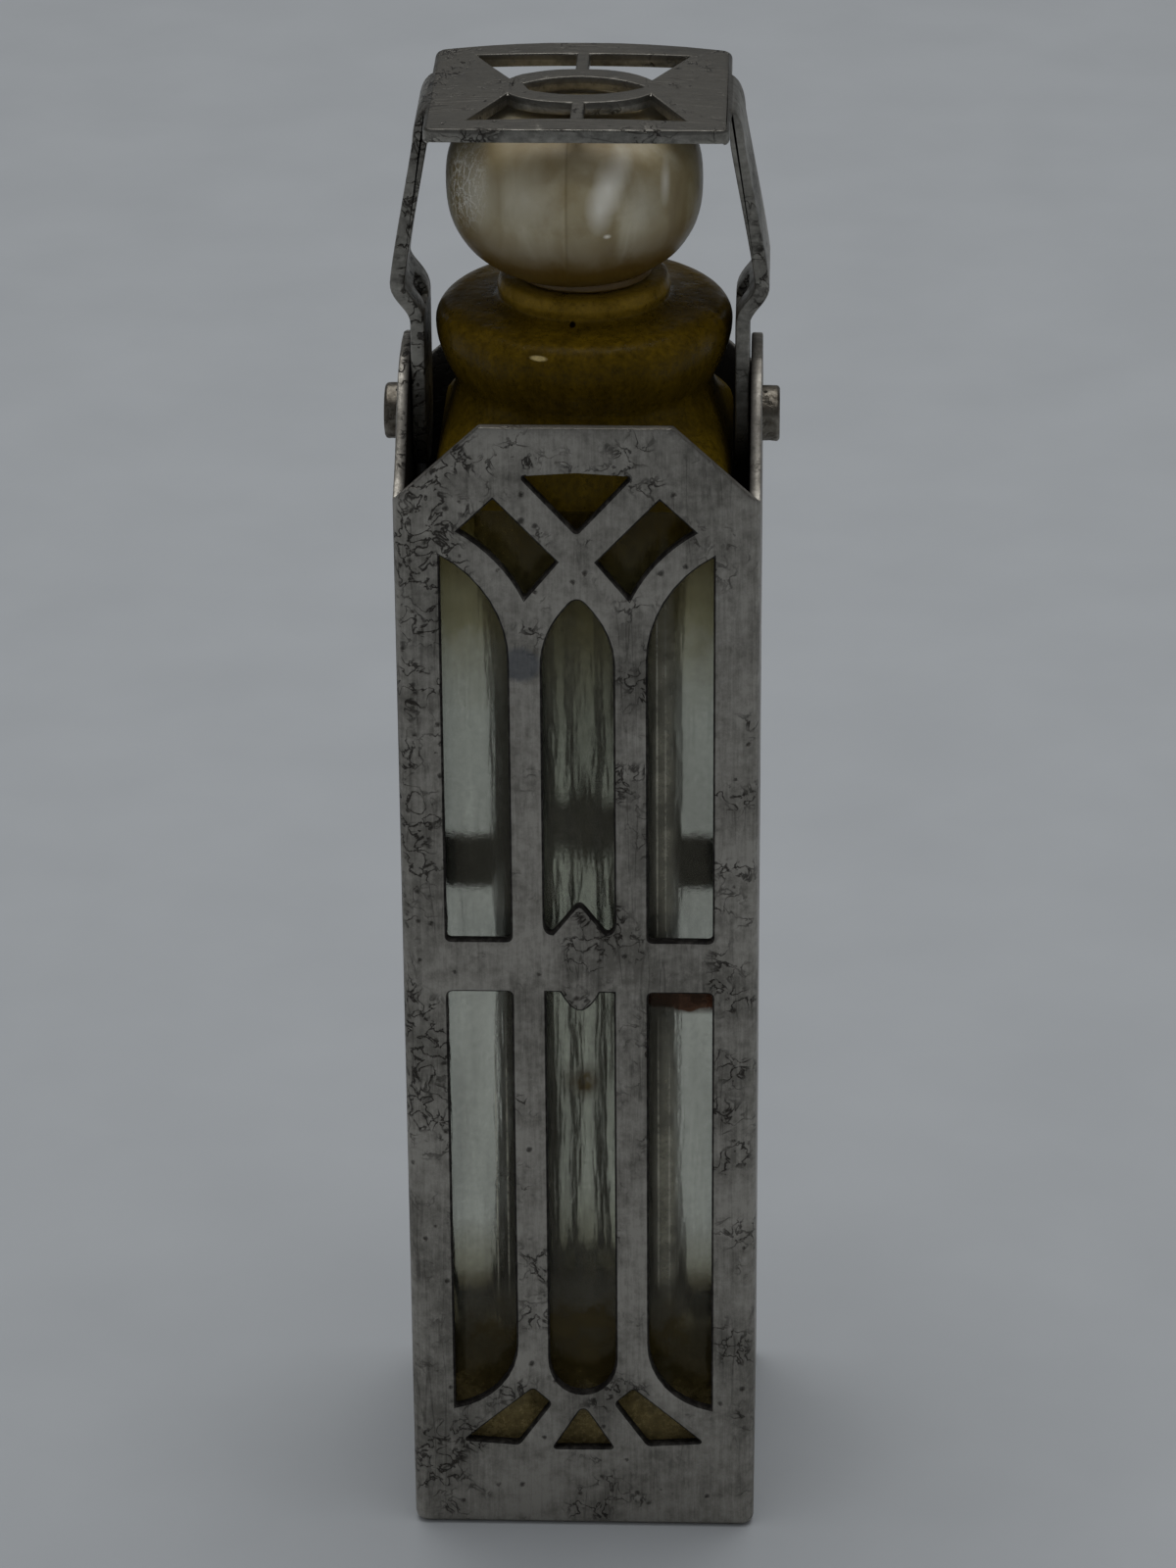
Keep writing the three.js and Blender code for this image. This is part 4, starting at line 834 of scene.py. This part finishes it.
def pearl_glass(name):
    """Milky moulded glass with a satin polish, scratched and stained where fingers hold it.

    The eye sees soft light inside the knob, upright pale streaks of painted highlight, and a grey crackle
    on one side.
    """
    material, tree, mm = bare_material(name)
    long = add(tree, "ShaderNodeVectorMath", [mm, (0.6, 0.6, 0.22)], operation="MULTIPLY")
    folds = add(tree, "ShaderNodeTexNoise", {"Vector": long, "Scale": 1, "Detail": 3, "Distortion": 0.5})
    cloud = add(tree, "ShaderNodeTexNoise", {"Vector": mm, "Scale": 0.7, "Detail": 6, "Roughness": 0.68})
    fine = add(tree, "ShaderNodeTexNoise", {"Vector": mm, "Scale": 5, "Detail": 3, "Roughness": 0.7})
    ramp = add(tree, "ShaderNodeValToRGB", [folds])
    tones = ((0.3, "#7b6c4b"), (0.46, "#958a6a"), (0.56, "#a39a7e"), (0.7, "#b9b39c"))
    set_stops(ramp, [(place, linear(colour)) for place, colour in tones])
    stained = add(tree, "ShaderNodeMapRange", [cloud, 0.45, 0.68, 0, 0.5])
    skin = mixed(tree, stained, ramp, linear("#7b6a44"))

    # Painted highlights: leaning pale streaks, a small glint, and a pale sheen left of the middle
    for middle, reach, colour, strength in (
        ((-1.7, -4.0, 51.9), (1.4, 2.5, 1.5), "#c2c0b2", 0.5),
        ((-3.4, -2.6, 51.8), (0.9, 2.0, 1.6), "#cdcbbd", 0.6),
        ((0.8, -4.3, 51.7), (0.55, 2.0, 1.0), "#e8e8e0", 0.7),
        ((1.1, -4.1, 52.4), (0.6, 2.0, 1.0), "#ecece4", 0.8),
        ((1.5, -3.8, 53.0), (0.5, 2.0, 0.8), "#e4e4dc", 0.6),
        ((3.0, -3.0, 52.2), (0.2, 2.0, 0.9), "#dcdbd2", 0.6),
        ((2.2, -3.5, 51.6), (0.9, 2.5, 1.3), "#b9b5a4", 0.5),
        ((1.05, -4.3, 50.7), (0.16, 0.8, 0.1), "#f2f0e6", 0.9),
    ):
        here = spot(tree, mm, middle, reach, edge=0.1)
        here = add(tree, "ShaderNodeMath", [here, strength], operation="MULTIPLY")
        skin = mixed(tree, here, skin, linear(colour))

    # A crackle of pale flakes lies at the left, where the knob was knocked
    bent = add(tree, "ShaderNodeVectorMath", [mm, fine], operation="ADD")
    cells = add(tree, "ShaderNodeTexVoronoi", {"Vector": bent, "Scale": 2.6}, feature="DISTANCE_TO_EDGE")
    flake = add(tree, "ShaderNodeMapRange", [cells, 0.03, 0.1, 1, 0])
    knocked = spot(tree, mm, (-3.8, -2.0, 51.8), (1.4, 1.8, 1.9), edge=0.4)
    flake = add(tree, "ShaderNodeMath", [flake, knocked], operation="MULTIPLY")
    skin = mixed(tree, flake, skin, linear("#d9d8cf"))

    # Old scent has crept up over the foot. Painted shade darkens the top under the plate, and a thin line
    # beside the mould's seam
    x, y, z = add(tree, "ShaderNodeSeparateXYZ", [mm]).outputs
    crept = add(tree, "ShaderNodeMath", [cloud, 1.6, z], operation="MULTIPLY_ADD")
    crept = add(tree, "ShaderNodeMapRange", [crept, 50.0, 51.6, 0.95, 0])
    skin = mixed(tree, crept, skin, linear("#5a430f"))
    # painted shade on the knob's top, under the plate, which is also made rougher
    painted_shade_top = add(tree, "ShaderNodeMapRange", [z, 52.4, 53.5, 0, 0.5])
    skin = mixed(tree, painted_shade_top, skin, linear("#695838"))
    # painted shade: a thin darker line beside the mould's seam, on its front
    beside = add(tree, "ShaderNodeMath", [x, 0.33], operation="ADD")
    beside = add(tree, "ShaderNodeMath", [beside], operation="ABSOLUTE")
    beside = add(tree, "ShaderNodeMapRange", [beside, 0.0, 0.07, 0.45, 0])
    front = add(tree, "ShaderNodeMath", [y, 0], operation="LESS_THAN")
    beside = add(tree, "ShaderNodeMath", [beside, front], operation="MULTIPLY")
    skin = mixed(tree, beside, skin, linear("#57481f"))

    rough = add(tree, "ShaderNodeMapRange", [fine, 0.35, 0.65, 0.3, 0.42])
    rough = add(tree, "ShaderNodeMath", [painted_shade_top, 0.6, rough], operation="MULTIPLY_ADD")
    height = add(tree, "ShaderNodeMath", [fine, 0.25, folds], operation="MULTIPLY_ADD")
    height = add(tree, "ShaderNodeMath", [flake, 0.6, height], operation="MULTIPLY_ADD")
    bump = add(tree, "ShaderNodeBump", {"Height": height, "Strength": 1, "Distance": 0.02 * MM})
    finish = {
        "Base Color": skin,
        "Roughness": rough,
        "IOR": 1.5,
        "Transmission Weight": 0.12,
        "Subsurface Weight": 0.5,
        "Subsurface Radius": (1, 0.85, 0.6),
        "Subsurface Scale": 1.0 * MM,
        "Normal": bump,
    }
    shader = add(tree, "ShaderNodeBsdfPrincipled", finish)
    add(tree, "ShaderNodeOutputMaterial", {"Surface": shader})
    return material


def peg_radius(height):
    """The peg's radius at a height, a clearance less than the seat's."""
    return seat_radius(height) - SEAT_CLEARANCE


knob = [(KNOB_FOOT_RADIUS, knob_foot + 0.001 * MM)]
knob += [(knob_radius * across, knob_foot + knob_height * up) for across, up in KNOB_OUTLINE]
collar_foot = lip + COLLAR_GAP
outline = [
    (0, peg_foot),
    (peg_radius(peg_foot) - 0.35 * MM, peg_foot),
    (peg_radius(peg_foot) - 0.1 * MM, peg_foot + 0.1 * MM),
    (peg_radius(peg_foot + 0.35 * MM), peg_foot + 0.35 * MM),
    *((peg_radius(peg_foot + i * MM), peg_foot + i * MM) for i in (1, 2, 3, 4)),
    (peg_radius(lip), lip),
    (peg_radius(lip), collar_foot),
    (COLLAR_RADIUS - COLLAR_ROUNDING, collar_foot),
    (COLLAR_RADIUS, collar_foot + COLLAR_ROUNDING),
    (COLLAR_RADIUS, knob_foot - 0.02 * MM),
    (COLLAR_RADIUS - 0.02 * MM, knob_foot),
    *smooth_line(knob, 7),
]
pearl = pearl_glass("pearl_glass_moulded_satin")
shape = turned_piece(
    "glass_stopper",
    outline,
    {
        "Steps Round": 361,
        "Unevenness": 0.06 * MM,
        "Mark Size": 2.4 * MM,
        "Upper From Height": knob_foot,
        "Upper Shift": -KNOB_OFFSET,
        "Seam Height": 0.035 * MM,
        "Seam Angle": radians(268),
        "Seed": 5,
        "Copies": 1,
        "Place": (vial_middle, 0, 0),
        "Tilt": 0.0,
        "Material": pearl,
    },
)
finished(shape, "glass_stopper", pearl, "stopper", "pearl_glass", "stopper")

# Bail: one strip of thicker sterling sheet, pierced flat, then bent into a plate with two bowed arms.
# It turns on the rivets inside the ears, and its plate holds the stopper down.
BAIL_ROUNDING = 0.08 * MM
BRIDGE_PLACE = (-2.5 * MM, 1.05 * MM)  # of the narrow bridge that is too thin to round
BRIDGE_REACH = 0.5 * MM
strip_silver = worn_silver(
    "sterling_silver_strip_bent_worn",
    "#a09d95",
    "#6f6d67",
    (0.8, 5, 3),
    pitting=0.14,
    # the plate's top, above 54.4 mm, is painted darker as shade
    painted_shade_above=54.4,
    polished=[
        ((0.0, -4.6, 54.5), (9.0, 0.16, 0.3)),
        ((-5.0, -4.6, 54.4), (0.35, 0.3, 0.4)),
        ((4.7, -4.6, 54.4), (0.35, 0.3, 0.4)),
    ],
)


def at_narrow_bridge(edge):
    """True at the bridge between the end of the plate's oval and the corner of its rear left window."""
    away = (hypot(end.co.x - BRIDGE_PLACE[0], end.co.y - BRIDGE_PLACE[1]) for end in edge.verts)
    return any(distance < BRIDGE_REACH for distance in away)


shape = merged_copy("bail")
round_edges(shape, BAIL_ROUNDING, at_narrow_bridge, sawn=lambda face: 0)
bail = finished(shape, "swinging_bail", strip_silver, "bail", "silver_strip", "bail")
keep_flats_flat(bail)

# Rivets: two short silver pins through ears and arms, their thick heads left outside.
# The inner ends are hammered into the arms' countersinks, and the heads' rims are pitted.
HEAD_RADIUS = 1.03 * MM
HEAD_THICKNESS = 0.62 * MM
HEAD_ROUNDING = 0.14 * MM
HEAD_CHAMFER = 0.05 * MM
ROUNDING_STEPS = 5
SHANK_RADIUS = 0.6 * MM
FLARE_RADIUS = 0.84 * MM
FLARE_DEPTH = 0.22 * MM
rivet_low, rivet_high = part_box("right_rivet")
pivot_height = (rivet_low.z + rivet_high.z) / 2
inner_end = rivet_low.x
head_face = rivet_high.x
rivet_silver = worn_silver("sterling_silver_rivet_hammered", "#8f8a80", "#5d564c", (3, 3, 3), pitting=0.4)
rounded_rim = []
for i in range(ROUNDING_STEPS + 1):
    turn = pi / 2 * i / ROUNDING_STEPS
    radius = HEAD_RADIUS - HEAD_ROUNDING * (1 - cos(turn))
    rounded_rim.append((radius, head_face - HEAD_ROUNDING * (1 - sin(turn))))
outline = [
    (0, inner_end),
    (FLARE_RADIUS, inner_end),
    (SHANK_RADIUS, inner_end + FLARE_DEPTH),
    (SHANK_RADIUS, half_width),
    (HEAD_RADIUS - HEAD_CHAMFER, half_width),
    (HEAD_RADIUS, half_width + HEAD_CHAMFER),
    *((HEAD_RADIUS, half_width + share * HEAD_THICKNESS) for share in (0.2, 0.4, 0.6)),
    *rounded_rim,
    *((HEAD_RADIUS * share, head_face) for share in (0.7, 0.5, 0.3, 0.15)),
    (0, head_face),
]
shape = turned_piece(
    "bail_rivets",
    outline,
    {
        "Steps Round": 65,
        "Unevenness": 0.1 * MM,
        "Mark Size": 0.45 * MM,
        "Upper From Height": half_width + 0.02 * MM,
        "Upper Shift": 0.0,
        "Seam Height": 0.0,
        "Seam Angle": 0.0,
        "Seed": 2,
        "Copies": 2,
        "Place": (0, 0, pivot_height),
        "Tilt": pi / 2,
        "Material": rivet_silver,
    },
)
finished(shape, "bail_rivets", rivet_silver, "case", "silver_rivet", "left_rivet", "right_rivet")

# Studio: a pale grey paper floor under one broad soft lamp, with the room's soft light all round.
# The paper reaches to the horizon, and the room above it is dim, which the silver and the glass show.
FLOOR_HALF = 1.6
FIBRE_CLOUDS = 120  # to a metre, so that the paper isn't quite even
DIM_FROM = 0.35  # from 0 level to 1 straight up, where the room has grown dim
LAMP_SIZE = 0.35
LAMP_WATTS = 1.05
LAMP_PLACE = (0.0, 0.06, 0.42)
LAMP_AIM = (0, 0, 0.02)
floor_mesh = bpy.data.meshes.new("floor")
floor_shape = bmesh.new()
bmesh.ops.create_grid(floor_shape, x_segments=8, y_segments=8, size=FLOOR_HALF)
floor_shape.to_mesh(floor_mesh)
floor_shape.free()
floor = bpy.data.objects.new("floor", floor_mesh)
bpy.context.scene.collection.objects.link(floor)
paper = bpy.data.materials.new("matt_grey_paper")
paper.use_nodes = True
tree = paper.node_tree
tree.nodes.clear()
where = add(tree, "ShaderNodeTexCoord").outputs["Object"]
fibres = add(tree, "ShaderNodeTexNoise", {"Vector": where, "Scale": FIBRE_CLOUDS, "Detail": 4})
tone = add(tree, "ShaderNodeMapRange", [fibres, 0.3, 0.7, 0, 1])
shade = mixed(tree, tone, linear("#919599"), linear("#95999d"))
shader = add(tree, "ShaderNodeBsdfPrincipled", {"Base Color": shade, "Roughness": 0.85})
add(tree, "ShaderNodeOutputMaterial", {"Surface": shader})
floor_mesh.materials.append(paper)

# The camera, the silver and the glass see the room, and its even fill light reaches everything else
world = bpy.data.worlds.new("room")
bpy.context.scene.world = world
world.use_nodes = True
tree = world.node_tree
tree.nodes.clear()
path = add(tree, "ShaderNodeLightPath").outputs
seen = 0
for ray in ("Is Camera Ray", "Is Glossy Ray", "Is Transmission Ray"):
    seen = add(tree, "ShaderNodeMath", [seen, path[ray]], operation="MAXIMUM")
fill = add(tree, "ShaderNodeBackground", {"Color": linear("#ffffff"), "Strength": 0.5})
where = add(tree, "ShaderNodeTexCoord").outputs["Object"]
up = add(tree, "ShaderNodeSeparateXYZ", [where]).outputs["Z"]
higher = add(tree, "ShaderNodeMapRange", [up, 0.0, DIM_FROM, 0, 1], interpolation_type="SMOOTHSTEP")
room = mixed(tree, higher, linear("#8f9397"), linear("#2b2b2c"))
backdrop = add(tree, "ShaderNodeBackground", {"Color": room, "Strength": 1.0})
light = add(tree, "ShaderNodeMixShader", [seen, fill, backdrop])
add(tree, "ShaderNodeOutputWorld", {"Surface": light})

lamp = bpy.data.lights.new("softbox", "AREA")
lamp.shape = "SQUARE"
lamp.size = LAMP_SIZE
lamp.energy = LAMP_WATTS
softbox = bpy.data.objects.new("softbox", lamp)
softbox.location = LAMP_PLACE
softbox.rotation_euler = (Vector(LAMP_AIM) - softbox.location).to_track_quat("-Z", "Y").to_euler()
bpy.context.scene.collection.objects.link(softbox)

# The camera looks down at the bottle as the photo's did
PITCH = radians(26.0)
TURN = radians(2.21)
ROLL = radians(-0.42)
TARGET = Vector((0.10, 0, 27.91)) * MM
DISTANCE = 206.7 * MM
LENS = 130.2
SENSOR_WIDTH = 36
forward = Vector((0, cos(PITCH), -sin(PITCH)))
camera_data = bpy.data.cameras.new("camera")
camera_data.lens = LENS
camera_data.sensor_width = SENSOR_WIDTH
camera_data.clip_start = 0.01
camera = bpy.data.objects.new("camera", camera_data)
aim = Matrix.Rotation(TURN, 4, "Z") @ Matrix.Translation(TARGET - forward * DISTANCE)
aim = aim @ forward.to_track_quat("-Z", "Y").to_matrix().to_4x4() @ Matrix.Rotation(ROLL, 4, "Z")
camera.matrix_world = aim
bpy.context.scene.collection.objects.link(camera)
bpy.context.scene.camera = camera
bpy.context.scene.view_settings.view_transform = "Standard"
